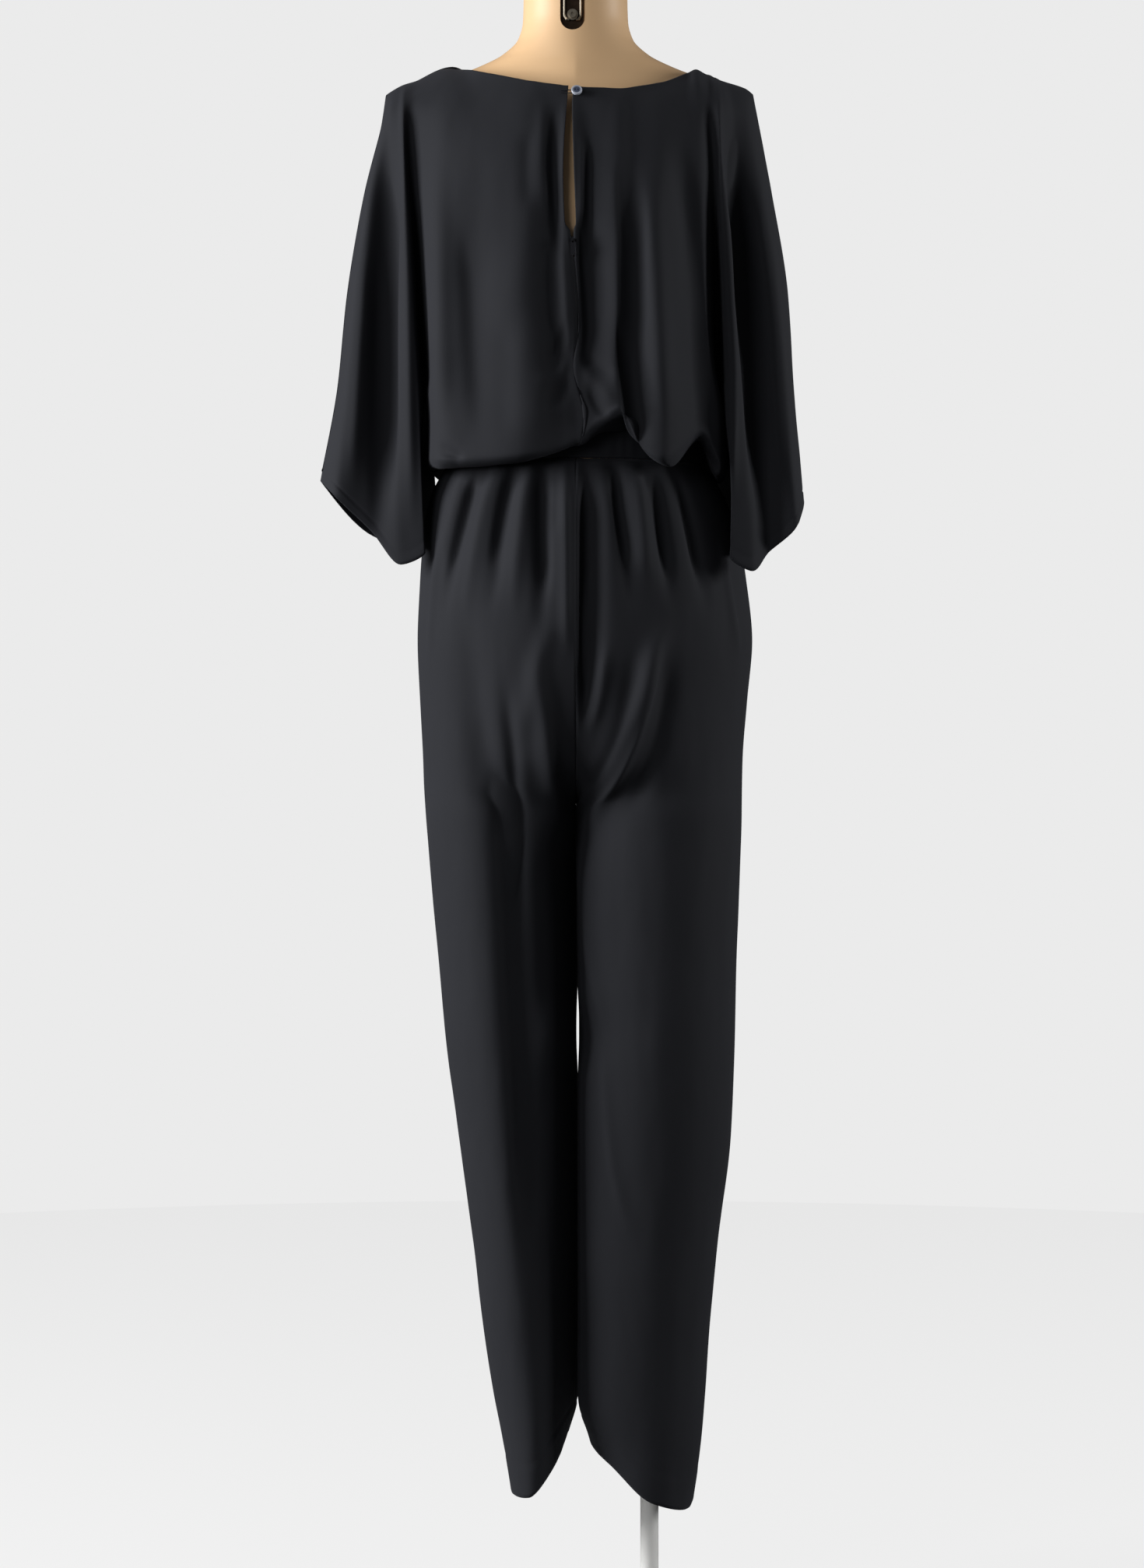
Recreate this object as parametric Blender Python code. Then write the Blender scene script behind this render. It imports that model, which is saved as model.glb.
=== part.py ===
"""A crepe jumpsuit with kimono sleeves, worn by a limbless dress form on a rod and a round base.

Metres, +Z up. The origin is on the floor under the middle of the base. The back of the garment
looks along -Y, so the wearer's left side is at -X. The tables are in millimetres.

Every cloth piece is a wall with its outer face on the garment's surface. The bodice hangs in hang
lines, from the neckline or the shoulder seam down to the waist or to the sleeve's hem. Trousers are
sections at a row of heights: one round the hips, which the crotch splits into two leg tubes.
"""

import math
from collections import namedtuple

import bmesh
import bpy
import numpy as np

MM = 0.001
WALL = 1.5  # the cloth's modelled thickness
SEAM = 0.15  # half the gap between two pieces at a seam

UNDERARM = 1238.0  # height at which body and sleeve part
WAIST_SEAM = 1185.5  # height of the bodice's lower edge
WAIST_CLEAR = 1.1  # how far outside the casing that edge lies
CASING_TOP, CASING_BOTTOM, CASING_WALL = 1185.0, 1160.3, 3.0
CROTCH, HEM = 815.0, 140.0  # heights between which the leg's rows are shared out
CENTRE = 4.0  # x of the waist's and the crotch's middle
WAIST_HALF, WAIST_DEPTH = 128.0, 100.0
SLIT_END = 1374.0  # foot of the keyhole
ZIP_FOOT = 1352.0  # down to here the edges stand apart for the slider
ZIP_PART = 1.3  # how far each edge then lies from the seam's middle

# One hang line: its place along the top edge, its plan place at five heights and its end height.
# The heights are LEVELS, and then 1200 on the body or 1160 on the sleeve. On the body the end is
# the underside of the bloused roll, on the sleeve it is the hem.
Hang = namedtuple("Hang", "name top x1 y1 x2 y2 x3 y3 x4 y4 x5 y5 end")
LEVELS = (1500.0, 1430.0, 1330.0, UNDERARM)
BODY_LOW, SLEEVE_LOW = 1200.0, 1160.0

BACK_LEFT = [
    Hang("centre", -3.5, -5, -92, -8.5, -113, -4, -117, 3, -121, 8, -124, 1170),
    Hang("edge_trough", -16, -15, -91, -17, -107, -14, -114, -12, -120, -10, -126, 1162),
    Hang("blade", -38, -40, -91, -42, -113, -46, -124, -48, -130, -48, -134, 1153),
    Hang("long_trough", -90, -89, -78, -90, -100, -93, -107, -95, -113, -96, -117, 1151),
    Hang("side_ridge", -122, -122, -70, -124, -86, -126, -97, -128, -98, -128, -97, 1152),
    Hang("underarm", -154, -156, -50, -157, -47, -153, -25, -146, 0, -143, 0, 1157),
    Hang("sleeve_seam", -154, -156, -50, -157, -47, -153, -25, -146, 0, -155, 0, 1081),
    Hang("sleeve_ridge", -163, -164, -53, -162, -62, -156, -68, -149, -66, -146, -62, 1072),
    Hang("sleeve_fall", -169, -170, -47, -172, -57, -173, -64, -171, -63, -169, -59, 1061),
    Hang("sleeve_trough", -176, -178, -40, -185, -46, -190, -49, -192, -49, -194, -47, 1094),
    Hang("sleeve_roll", -182, -185, -26, -198, -38, -208, -47, -216, -50, -225, -50, 1126),
    Hang("overarm", -183.4, -187.5, 0, -205, 0, -222, 0, -231.5, 0, -246, 0, 1147),
]
BACK_RIGHT = [
    Hang("centre", 2, 0, -92, 2, -114, 5, -117, 4, -121, 8, -124, 1170),
    Hang("edge_trough", 17, 16, -91, 17, -108, 18, -115, 20, -121, 22, -125, 1182),
    Hang("blade", 44, 42, -91, 42, -113, 42, -124, 44, -130, 46, -131, 1195),
    Hang("low_trough", 64, 60, -86, 60, -107, 60, -114, 60, -117, 61, -119, 1167),
    Hang("side_ridge", 88, 82, -84, 80, -107, 82, -119, 85, -125, 87, -125, 1151),
    Hang("wide_trough", 112, 110, -75, 110, -92, 114, -94, 119, -90, 123, -88, 1180),
    Hang("side_fall", 123, 123, -73, 126, -85, 131, -87, 139, -80, 144, -74, 1148),
    Hang("underarm", 134, 134, -68, 138, -69, 141, -33, 146, 0, 150, 0, 1145),
    Hang("sleeve_seam", 134, 134, -68, 138, -69, 141, -33, 146, 0, 159, 0, 1074),
    Hang("sleeve_ridge", 141, 142, -70, 145, -78, 151, -80, 156, -84, 154, -85, 1066),
    Hang("sleeve_fall", 147, 148, -62, 152, -64, 161, -68, 169, -76, 171, -78, 1053),
    Hang("sleeve_trough", 153, 156, -50, 163, -50, 176, -50, 184, -55, 187, -58, 1072),
    Hang("sleeve_roll", 172, 174, -34, 184, -44, 198, -54, 206, -60, 212, -64, 1096),
    Hang("overarm", 179, 184.5, 0, 197.6, 0, 213.7, 0, 219, 0, 226, 0, 1127),
]
FRONT_LEFT = [
    Hang("centre", 0, 0, 74, 0, 100, 1, 121, 2, 127, 3, 128, 1158),
    Hang("chest", -30, -32, 73, -34, 98, -38, 119, -40, 124, -40, 126, 1154),
    Hang("drape", -70, -70, 69, -72, 93, -74, 110, -76, 113, -76, 115, 1160),
    Hang("side_ridge", -118, -119, 58, -122, 78, -126, 94, -127, 99, -128, 98, 1152),
    Hang("underarm", -154, -156, 46, -157, 46, -153, 25, -146, 0, -143, 0, 1157),
    Hang("sleeve_seam", -154, -156, 46, -157, 46, -153, 25, -146, 0, -155, 0, 1081),
    Hang("sleeve_ridge", -167, -168, 46, -167, 58, -159, 72, -147, 78, -143, 80, 1074),
    Hang("sleeve_trough", -178, -181, 32, -190, 38, -196, 46, -200, 52, -203, 54, 1100),
    Hang("overarm", -183.4, -187.5, 0, -205, 0, -222, 0, -231.5, 0, -246, 0, 1147),
]
FRONT_RIGHT = [
    Hang("centre", 0, 0, 74, 0, 100, 1, 121, 2, 127, 3, 128, 1158),
    Hang("chest", 34, 34, 72, 36, 97, 40, 117, 42, 123, 44, 125, 1162),
    Hang("drape", 76, 74, 69, 76, 92, 80, 111, 82, 115, 84, 116, 1154),
    Hang("side_ridge", 112, 112, 62, 114, 82, 120, 96, 124, 101, 128, 100, 1158),
    Hang("underarm", 138, 140, 56, 142, 60, 143, 33, 146, 0, 150, 0, 1145),
    Hang("sleeve_seam", 138, 140, 56, 142, 60, 143, 33, 146, 0, 159, 0, 1074),
    Hang("sleeve_ridge", 150, 151, 56, 153, 66, 155, 74, 152, 78, 149, 80, 1072),
    Hang("sleeve_trough", 168, 170, 40, 178, 42, 190, 48, 197, 52, 200, 56, 1088),
    Hang("overarm", 179, 184.5, 0, 197.6, 0, 213.7, 0, 219, 0, 226, 0, 1127),
]

# Top edge of the bodice: x and height along the shoulder seams and the neckline.
Edge = namedtuple("Edge", "x z")
NECK_LEFT, NECK_RIGHT = -114.6, 128.4  # neck points, where neckline and shoulder seam meet
BACK_EDGE = [
    Edge(-183.4, 1528), Edge(-170, 1536.5), Edge(-149, 1543.4), Edge(-127, 1552),
    Edge(-114.6, 1556.5), Edge(-94, 1542.5), Edge(-58, 1529.7), Edge(0, 1519.7),
    Edge(35, 1518), Edge(64, 1522), Edge(97, 1531.5), Edge(128.4, 1549.6),
    Edge(145, 1543), Edge(171, 1535), Edge(179, 1529),
]
FRONT_EDGE = [
    Edge(-183.4, 1528), Edge(-170, 1536.5), Edge(-149, 1543.4), Edge(-127, 1552),
    Edge(-114.6, 1556.5), Edge(-94, 1547), Edge(-50, 1526), Edge(0, 1517),
    Edge(50, 1524), Edge(100, 1541), Edge(128.4, 1549.6),
    Edge(145, 1543), Edge(171, 1535), Edge(179, 1529),
]
NECK_BACK, NECK_FRONT = -84.0, 64.0  # y of the neckline at the centre

# One trouser section: side seam, inside leg (the centre seam above the crotch), depth behind and
# in front of the side seam, and how far the section has split into legs, from 0 to 1.
Section = namedtuple("Section", "z side inner back front split")
LEFT_LEG = [
    Section(1160, -124, 4, 100, 100, 0), Section(1146, -133, 4, 109, 107, 0),
    Section(1125, -142, 4, 117, 111, 0), Section(1090, -147, 4, 122, 113, 0.01),
    Section(1050, -150, 4, 126, 113, 0.02), Section(990, -152.5, 4, 128, 112, 0.04),
    Section(930, -150, 4, 124, 108, 0.06), Section(870, -147, 4, 117, 104, 0.2),
    Section(845, -146, 4, 109, 99, 0.45), Section(815, -144, 4, 96, 91, 1),
    Section(740, -138, 4.2, 95, 90, 1), Section(672, -131.6, 4.4, 93.5, 88, 1),
    Section(600, -125, 4.4, 91, 86, 1), Section(500, -111.5, 4.4, 86, 82, 1),
    Section(400, -98, 4.4, 80, 77, 1), Section(300, -86, 4.2, 75, 73, 1),
    Section(245, -77, 3, 73, 71, 1), Section(200, -68, -6, 71, 70, 1), Section(140, -58, -18, 69, 68, 1),
]
RIGHT_LEG = [
    Section(1160, 132, 4, 100, 100, 0), Section(1146, 142, 4, 109, 107, 0),
    Section(1125, 153, 4, 117, 111, 0), Section(1090, 165, 4, 122, 113, 0.01),
    Section(1050, 172, 4, 126, 113, 0.02), Section(990, 178, 4, 128, 112, 0.04),
    Section(930, 173, 4, 124, 108, 0.06), Section(870, 168.5, 4, 117, 104, 0.2),
    Section(845, 168, 4, 109, 99, 0.45), Section(815, 167.6, 4, 96, 91, 1),
    Section(740, 165, 6.6, 95, 89, 1), Section(672, 162.5, 6.9, 92.5, 87, 1),
    Section(600, 161, 6.9, 89.5, 84, 1), Section(500, 157, 6.9, 82, 79, 1),
    Section(400, 144.5, 6.9, 74, 74, 1), Section(300, 135, 6.9, 68, 69, 1),
    Section(245, 131.5, 8, 66, 67, 1), Section(200, 127.5, 18, 64, 65, 1), Section(140, 119, 24, 62, 63, 1),
]
# Each leg leans this share of its depth to the left behind and to the right in front, at a height.
LEAN = ((190, 0), (240, 0.3), (330, 0.24), (560, 0.2), (606, 0.04), (650, 0.2), (750, 0.22), (CROTCH, 0))
LEAN_ROUND = 0.5  # the lean fades out this far round from the inside leg
# Hem height against the way round from inside leg (0) to side seam (1).
Hem = namedtuple("Hem", "around left_back left_front right_back right_front")
HEMS = [
    Hem(0, 208, 208, 206, 206), Hem(0.25, 186, 204, 186, 202),
    Hem(0.55, 158, 184, 150, 180), Hem(0.85, 155, 160, 139, 150), Hem(1, 157, 157, 148, 148),
]
# A fold runs from one place around and height to another. Depth is negative for a trough.
Fold = namedtuple("Fold", "panel around top to bottom width depth")
FOLDS = [
    Fold("left_back", 0.14, 1152, 0.14, 1010, 8, -7), Fold("left_back", 0.21, 1152, 0.25, 1030, 8, 5),
    Fold("left_back", 0.28, 1152, 0.35, 1030, 8, -7), Fold("left_back", 0.37, 1152, 0.47, 1030, 9, 5),
    Fold("left_back", 0.46, 1152, 0.60, 1030, 9, -7), Fold("left_back", 0.46, 960, 0.42, 300, 22, -9),
    Fold("right_back", 0.08, 1130, 0.06, 930, 9, -7), Fold("right_back", 0.17, 1152, 0.20, 1030, 8, -7),
    Fold("right_back", 0.25, 1152, 0.27, 1040, 8, 4), Fold("right_back", 0.33, 1152, 0.36, 1030, 8, -7),
    Fold("right_back", 0.48, 1152, 0.52, 1030, 9, -6), Fold("right_back", 0.30, 985, 0.04, 800, 12, 8),
    Fold("left_front", 0.14, 1150, 0.16, 1040, 11, -6), Fold("left_front", 0.38, 1152, 0.36, 1020, 11, 6),
    Fold("left_front", 0.62, 1150, 0.60, 1040, 11, -7), Fold("left_front", 0.50, 900, 0.50, 260, 22, -9),
    Fold("right_front", 0.16, 1152, 0.14, 1030, 11, -7), Fold("right_front", 0.42, 1150, 0.44, 1040, 11, 6),
    Fold("right_front", 0.66, 1152, 0.68, 1020, 11, -7), Fold("right_front", 0.48, 860, 0.46, 300, 22, -8),
]

# The dress form: half width, depth behind and in front, and the plan's roundness (2 is an ellipse).
Ring = namedtuple("Ring", "z half back front round")
FORM_X = 3.5  # the form stands a little to the right inside the garment
ARM_END = 172.0  # flat arm ends, this far from the form's middle
TORSO = [
    Ring(852, 40, 34, 30, 2), Ring(870, 84, 66, 58, 2), Ring(900, 122, 92, 80, 2),
    Ring(940, 143, 106, 94, 2.1), Ring(1000, 147, 112, 100, 2.1), Ring(1050, 143, 108, 100, 2.1),
    Ring(1100, 136, 101, 98, 2),
    Ring(1140, 126, 97.5, 97, 2), Ring(1160, 123.9, 96.1, 96.1, 2), Ring(1186, 123.9, 96.1, 96.1, 2),
    Ring(1240, 129, 98, 101, 2), Ring(1300, 137, 102, 109, 2), Ring(1350, 146, 104, 108, 2),
    Ring(1400, 160, 103, 98, 2), Ring(1440, 174, 98, 88, 2), Ring(1480, 182, 88, 76, 2),
    Ring(1505, 182, 76, 64, 1.8), Ring(1522, 180, 64, 52, 1.55), Ring(1533, 165, 59, 49, 1.4),
    Ring(1541, 142, 57, 48, 1.35), Ring(1548, 117, 55, 49, 1.45), Ring(1556, 95, 53, 49, 1.6),
    Ring(1566, 74, 52, 49, 1.8), Ring(1582, 57, 51, 49, 2), Ring(1600, 52, 50, 49, 2),
    Ring(1662, 50, 49, 49, 2), Ring(1665, 47, 46, 46, 2),
]
STUMP_X, STUMP_BOTTOM = 73.0, 672.0
STUMP = [
    Ring(672, 54, 70, 68, 2), Ring(740, 57, 76, 73, 2), Ring(800, 61, 83, 76, 2),
    Ring(850, 64, 85, 77, 2), Ring(905, 64, 82, 74, 2),
]
SEGMENTS = 32  # round the form

ROD_RADIUS, ROD_FIT, ROD_SOCKET = 9.0, 0.3, 60.0
BASE_RADIUS, BASE_THICK, BASE_EDGE = 170.0, 8.0, 1.5
FLANGE_RADIUS, FLANGE_THICK = 24.0, 6.0
ROUND = 32  # sides of the round metal pieces

RECESS_HALF, RECESS_LOW, RECESS_HIGH = 12.0, 1581.5, 1636.5  # an oblong with round ends
RECESS_OPEN, RECESS_FLOOR = -60.0, -42.0  # y of the cutter's outer end and of the recess's floor
FIT_X, SCREW_Z = 0.5, 1597.0
PLATE_THICK, PLATE_FIT = 1.5, 1.0
WIRE_RADIUS, WIRE_HALF, WIRE_TOP = 1.4, 8.0, 1631.5
WIRE_FOOT = 3.2  # how near the screw's middle each end of the wire comes
SCREW_RADIUS, HEAD_RADIUS, HEAD_HIGH, KEY_RADIUS, WASHER_RADIUS = 2.0, 3.8, 3.6, 1.8, 5.4
GAP = 0.3  # between pieces that rest on each other
CUT_PAST = 5.0  # how far a cutter runs out past the face that it opens

BUTTON_X, BUTTON_Z, BUTTON_RADIUS, BUTTON_THICK = 4.5, 1513.0, 5.2, 2.4
SHANK, SHANK_RADIUS, HOLE_RADIUS, HOLE_OFF = 2.2, 0.9, 0.7, 1.4
LOOP_RADIUS, LOOP_REACH = 0.5, 15.0  # the loop's thread, and how far it reaches over the left edge
LOOP_OUT = 0.5  # how far the loop lies off the cloth
PULL_Z, PULL_LENGTH, PULL_HALF, PULL_THICK = 1366.0, 15.0, 2.0, 1.0
LUG_HALF, LUG_HIGH, PIN_RADIUS, PIN_FIT = 0.6, 1.6, 0.55, 0.35
PIVOT_OUT, SLIDER_IN = 3.4, 1.4  # the pin lies outside the cloth, the slider inside it
SLIDER_HALF, SLIDER_THICK, SLIDER_UP, SLIDER_DOWN = 3.2, 2.0, 4.0, 5.0


def material(name, colour, roughness, metallic=0.0):
    made = bpy.data.materials.new(name)
    made.use_nodes = True
    shader = made.node_tree.nodes["Principled BSDF"]
    shader.inputs["Base Color"].default_value = (*colour, 1)
    shader.inputs["Roughness"].default_value = roughness
    shader.inputs["Metallic"].default_value = metallic
    return made


def slopes(at, values):
    """Slopes of a cubic that turns only at its knots, so that a fold never overshoots its depth."""
    step = np.diff(at)
    rise = np.diff(values) / step
    out = np.zeros_like(values)
    for i in range(1, len(at) - 1):
        a, b = rise[i - 1], rise[i]
        if a * b > 0:
            w1, w2 = 2 * step[i] + step[i - 1], step[i] + 2 * step[i - 1]
            out[i] = (w1 + w2) / (w1 / a + w2 / b)
    out[0], out[-1] = rise[0], rise[-1]
    return out


def curve(at, values, where):
    """The smooth curve through values at the rising places at, read at where."""
    at, values = np.asarray(at, float), np.asarray(values, float)
    slope = slopes(at, values)
    i = int(np.clip(np.searchsorted(at, where) - 1, 0, len(at) - 2))
    step = at[i + 1] - at[i]
    t = (where - at[i]) / step
    if t > 1:
        return values[-1] + slope[-1] * (where - at[-1])
    h = (2 * t**3 - 3 * t**2 + 1, t**3 - 2 * t**2 + t, -2 * t**3 + 3 * t**2, t**3 - t**2)
    return h[0] * values[i] + h[1] * step * slope[i] + h[2] * values[i + 1] + h[3] * step * slope[i + 1]


def through(points, where):
    """A point on the smooth curve through a list of points, at a place counted in points."""
    at = np.arange(len(points))
    return np.array([curve(at, [p[k] for p in points], where) for k in range(3)])


# ---- cloth walls -------------------------------------------------------------------------------


def unit(vector):
    return vector / max(np.linalg.norm(vector), 1e-9)


class Cloth:
    """Points of one piece's outer face, its facets, and the directions its seam edges keep to."""

    def __init__(self, outward):
        self.points, self.facets, self.flat, self.aim = [], [], {}, {}
        self.outward = outward  # 1 or -1: which way round the facets face out

    def add(self, point):
        self.points.append(np.asarray(point, float))
        return len(self.points) - 1

    def grid(self, rows):
        """Facets between rows of point numbers, each square cut along its shorter diagonal."""
        for upper, lower in zip(rows, rows[1:]):
            for i in range(len(upper) - 1):
                a, b, c, d = upper[i], upper[i + 1], lower[i + 1], lower[i]
                p = self.points
                if np.linalg.norm(p[a] - p[c]) < np.linalg.norm(p[b] - p[d]):
                    self.facets += [(a, b, c), (a, c, d)]
                else:
                    self.facets += [(a, b, d), (b, c, d)]

    def normals(self):
        out = np.zeros((len(self.points), 3))
        for f in self.facets:
            a, b, c = (self.points[i] for i in f)
            out[list(f)] += np.cross(b - a, c - a) * self.outward
        for i, axis in self.flat.items():
            for k in axis:
                out[i][k] = 0
        for i, way in self.aim.items():
            out[i] = way
        return np.array([unit(n) for n in out])

    def build(self, name, look, wall=WALL):
        outer = np.array(self.points)
        inner = outer - self.normals() * wall
        count = len(outer)
        faces = [f if self.outward > 0 else f[::-1] for f in self.facets]
        edges = [(a, b) for f in faces for a, b in zip(f, f[1:] + f[:1])]
        known = set(edges)
        rim = [(a, b) for a, b in edges if (b, a) not in known]
        inside = [tuple(i + count for i in f[::-1]) for f in faces]
        sides = [(b, a, a + count, b + count) for a, b in rim]
        mesh = bpy.data.meshes.new(name)
        mesh.from_pydata(list(np.vstack([outer, inner]) * MM), [], faces + inside + sides)
        mesh.materials.append(look)
        made = bpy.data.objects.new(name, mesh)
        bpy.context.scene.collection.objects.link(made)
        return made


# ---- bodice ------------------------------------------------------------------------------------

TOP_ROWS = (0, 0.3, 0.65, 1, 1.5, 2, 2.5, 2.75, 3.35, 4)  # counted in the hang lines' heights
BODY_ROWS, SLEEVE_ROWS = (4.5, 5, 6, 7, 8, 9, 10), (4.5, 5, 5.5, 6)
BETWEEN = 2  # columns from one hang line to the next
# The bloused roll, a row each: the share of the way in to the waist seam, and the rise above the end.
ROLL = ((-0.05, 9), (0.08, 2), (0.36, 0), (0.62, 5))
ROLL_START = 5  # the rows after this one are the roll's
HIGH_ROLL = 8.0  # a roll that ends this near the seam rises to it evenly


def top_point(x, front):
    """The point of the top edge at x: on the neckline between the neck points, else on the seam."""
    edge = FRONT_EDGE if front else BACK_EDGE
    neck = NECK_LEFT if x < 0 else NECK_RIGHT
    y = (NECK_FRONT if front else NECK_BACK) * math.sqrt(max(0, 1 - (x / neck) ** 2))
    return np.array([x, y, curve([e.x for e in edge], [e.z for e in edge], x)])


def hanging(line, front, body):
    """The knots of a hang line from its top to its end, the first being a ghost above the top."""
    top = top_point(line.top, front)
    low = BODY_LOW if body else SLEEVE_LOW
    plan = [(line.x1, line.y1), (line.x2, line.y2), (line.x3, line.y3), (line.x4, line.y4)]
    knots = [top] + [np.array([x, y, z]) for (x, y), z in zip(plan, LEVELS)]
    if body:
        knots.append(np.array([line.x5, line.y5, max(low, line.end + 15)]))
    else:
        low = max(low, line.end + 8)
        below = np.array([line.x5, line.y5, low])
        out = (below - knots[-1]) / (knots[-1][2] - low) * (low - line.end)
        knots += [below, below + out]
    over = min(1, abs(top[1]) / 50)
    ghost = (1 - over) * (knots[1] * (1, -1, 1)) + over * (2 * top - knots[1])
    return [ghost] + knots


def waist_point(turn, front):
    """A point of the waist seam: turn runs from 0 at the centre to 1 (left) or -1 (right)."""
    a = turn * math.pi / 2
    y = (WAIST_DEPTH + WAIST_CLEAR) * math.cos(a) * (1 if front else -1)
    return np.array([CENTRE - (WAIST_HALF + WAIST_CLEAR) * math.sin(a), y, WAIST_SEAM])


def rolled(point, end, seam, row):
    """The bloused roll under a body column: out and down to end, then in and up to the seam."""
    if row == len(ROLL):
        return seam
    share, rise = ROLL[row]
    height = end + rise
    if row == len(ROLL) - 1 and end > WAIST_SEAM - HIGH_ROLL:
        height = (end + WAIST_SEAM) / 2
    plan = point + (seam - point) * share
    return np.array([plan[0], plan[1], height])


def bodice_rows(lines, front, sign, part, t):
    """The row of points at place t down the hang lines: all of them, or one part under the arm."""
    under = next(i for i, line in enumerate(lines) if line.name == "underarm")
    body = [hanging(line, front, True) for line in lines[: under + 1]]
    sleeve = [hanging(line, front, False) for line in lines[under + 1 :]]
    if part == "all":
        knots = [through(k, t + 1) for k in body[:-1] + sleeve]
        first = np.array([2 * knots[0][0] - knots[1][0], knots[1][1], knots[1][2]])
        knots = [first] + knots + [knots[-2] * (1, -1, 1)]
        count = len(lines) - 2
    elif part == "body":
        at = [through(k, min(t, ROLL_START) + 1) for k in body]
        if t > ROLL_START:
            for i, (point, line) in enumerate(zip(at, lines)):
                seam = waist_point(-sign * i / under, front)
                at[i] = rolled(point, line.end, seam, int(t) - ROLL_START - 1)
        first = np.array([2 * at[0][0] - at[1][0], at[1][1], at[1][2]])
        knots = [first] + at + [at[-2] * (1, -1, 1)]
        count = under
    else:
        at = [through(k, t + 1) for k in sleeve]
        knots = [at[1] * (1, -1, 1)] + at + [at[-2] * (1, -1, 1)]
        count = len(sleeve) - 1
    return [through(knots, 1 + i / BETWEEN) for i in range(count * BETWEEN + 1)]


def half_bodice(cloth, lines, front, sign, centre=None):
    """Adds one side of the bodice. centre holds the point numbers of a centre already made."""
    under = next(i for i, line in enumerate(lines) if line.name == "underarm") * BETWEEN
    side = SEAM if front else -SEAM
    neck = abs(NECK_LEFT if sign < 0 else NECK_RIGHT)
    made_centre = []

    def place(points, part, t):
        row = []
        for i, point in enumerate(points):
            first, last = i == 0, i == len(points) - 1
            if first and part != "sleeve" and centre is not None:
                row.append(centre[len(made_centre)])
                made_centre.append(row[0])
                continue
            on_shoulder = t == 0 and abs(point[0]) >= neck - 0.01
            on_seam = last or on_shoulder or first and part == "sleeve"
            if on_seam or abs(point[1]) < abs(side):
                point[1] = side
            number = cloth.add(point)
            if on_seam:
                cloth.flat[number] = (1,)
            if first and part != "sleeve":
                made_centre.append(number)
                if not front:
                    cloth.flat[number] = (0,)
                    if point[2] < SLIT_END:
                        part_by = ZIP_PART if point[2] > ZIP_FOOT else SEAM
                        cloth.points[number][0] = centre_line(point[2]) + sign * part_by
            row.append(number)
        return row

    rows = [place(bodice_rows(lines, front, sign, "all", t), "all", t) for t in TOP_ROWS]
    split = rows[-1][under]
    cloth.points[split][1] = side
    cloth.aim[split] = (0, 0, -1)
    body = [rows[-1][: under + 1]]
    body += [place(bodice_rows(lines, front, sign, "body", t), "body", t) for t in BODY_ROWS]
    sleeve = [rows[-1][under:]]
    sleeve += [place(bodice_rows(lines, front, sign, "sleeve", t), "sleeve", t) for t in SLEEVE_ROWS]
    for patch in (rows, body, sleeve):
        cloth.grid([row[::sign] for row in patch])
    return made_centre


def centre_line(z):
    """x of the centre back seam under the keyhole, which wanders with the slack of the zip."""
    return curve((1165, 1201, 1216, 1246, 1283, SLIT_END), (6, 15, 9, 1, 7, 0), z)


def bodice(look):
    for name, lines, sign in (("bodice_back_left", BACK_LEFT, -1), ("bodice_back_right", BACK_RIGHT, 1)):
        cloth = Cloth(-1)
        half_bodice(cloth, lines, False, sign)
        cloth.build(name, look)
    cloth = Cloth(1)
    centre = half_bodice(cloth, FRONT_LEFT, True, -1)
    half_bodice(cloth, FRONT_RIGHT, True, 1, centre)
    cloth.build("bodice_front", look)


# ---- trousers ----------------------------------------------------------------------------------

LEG_COLUMNS = 12
# Below the crotch these are shared out anew down to the hem's own height in each column.
LEG_HEIGHTS = (1160, 1146, 1120, 1080, 1030, 980, 930, 890, 850, CROTCH, 740, 660, 560, 440, 320, 200, HEM)
SEAM_EASE = 0.06  # the folds fade out over this share of a panel's width, towards each seam


def fold_push(panel, around, z, length):
    """How far the folds push the cloth out at a place, around the section and at height z."""
    push = 0.0
    for f in FOLDS:
        if f.panel != panel:
            continue
        down = (f.top - z) / (f.top - f.bottom)
        if -0.1 < down < 1.15:
            window = min(1, max(0, (down + 0.1) / 0.2)) * min(1, max(0, (1.15 - down) / 0.45))
            off = (around - (f.around + (f.to - f.around) * down)) * length
            push += f.depth * window * math.exp(-((off / f.width) ** 2))
    return push


def leg_point(sections, panel, around, z):
    """The outer face of the trousers, from the centre seam or inside leg (0) to the side seam (1)."""
    heights = [s.z for s in sections][::-1]
    side, inner, back, front, split = (
        curve(heights, [s[k] for s in sections][::-1], z) for k in range(1, 6)
    )
    depth = front if panel.endswith("front") else -back
    split = 1 if z < CROTCH else min(1, max(0, split))
    quarter = around * math.pi / 2
    hip = np.array([inner + (side - inner) * math.sin(quarter), depth * math.cos(quarter)])
    loop = around * math.pi
    middle, half = (side + inner) / 2, (side - inner) / 2
    leg = np.array([middle - half * math.cos(loop), depth * math.sin(loop)])
    if z < CROTCH:
        lean = curve([height for height, _ in LEAN], [share for _, share in LEAN], z)
        leg[0] += lean * leg[1] * max(0, 1 - around / LEAN_ROUND)
    plan = hip * (1 - split) + leg * split
    out = unit(plan - np.array([middle if split > 0.5 else inner, 0]))
    length = abs(side - inner) + abs(depth)
    edge = min(1, around / SEAM_EASE, (1 - around) / SEAM_EASE)
    return np.array([*(plan + out * fold_push(panel, around, z, length) * edge), z])


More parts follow.
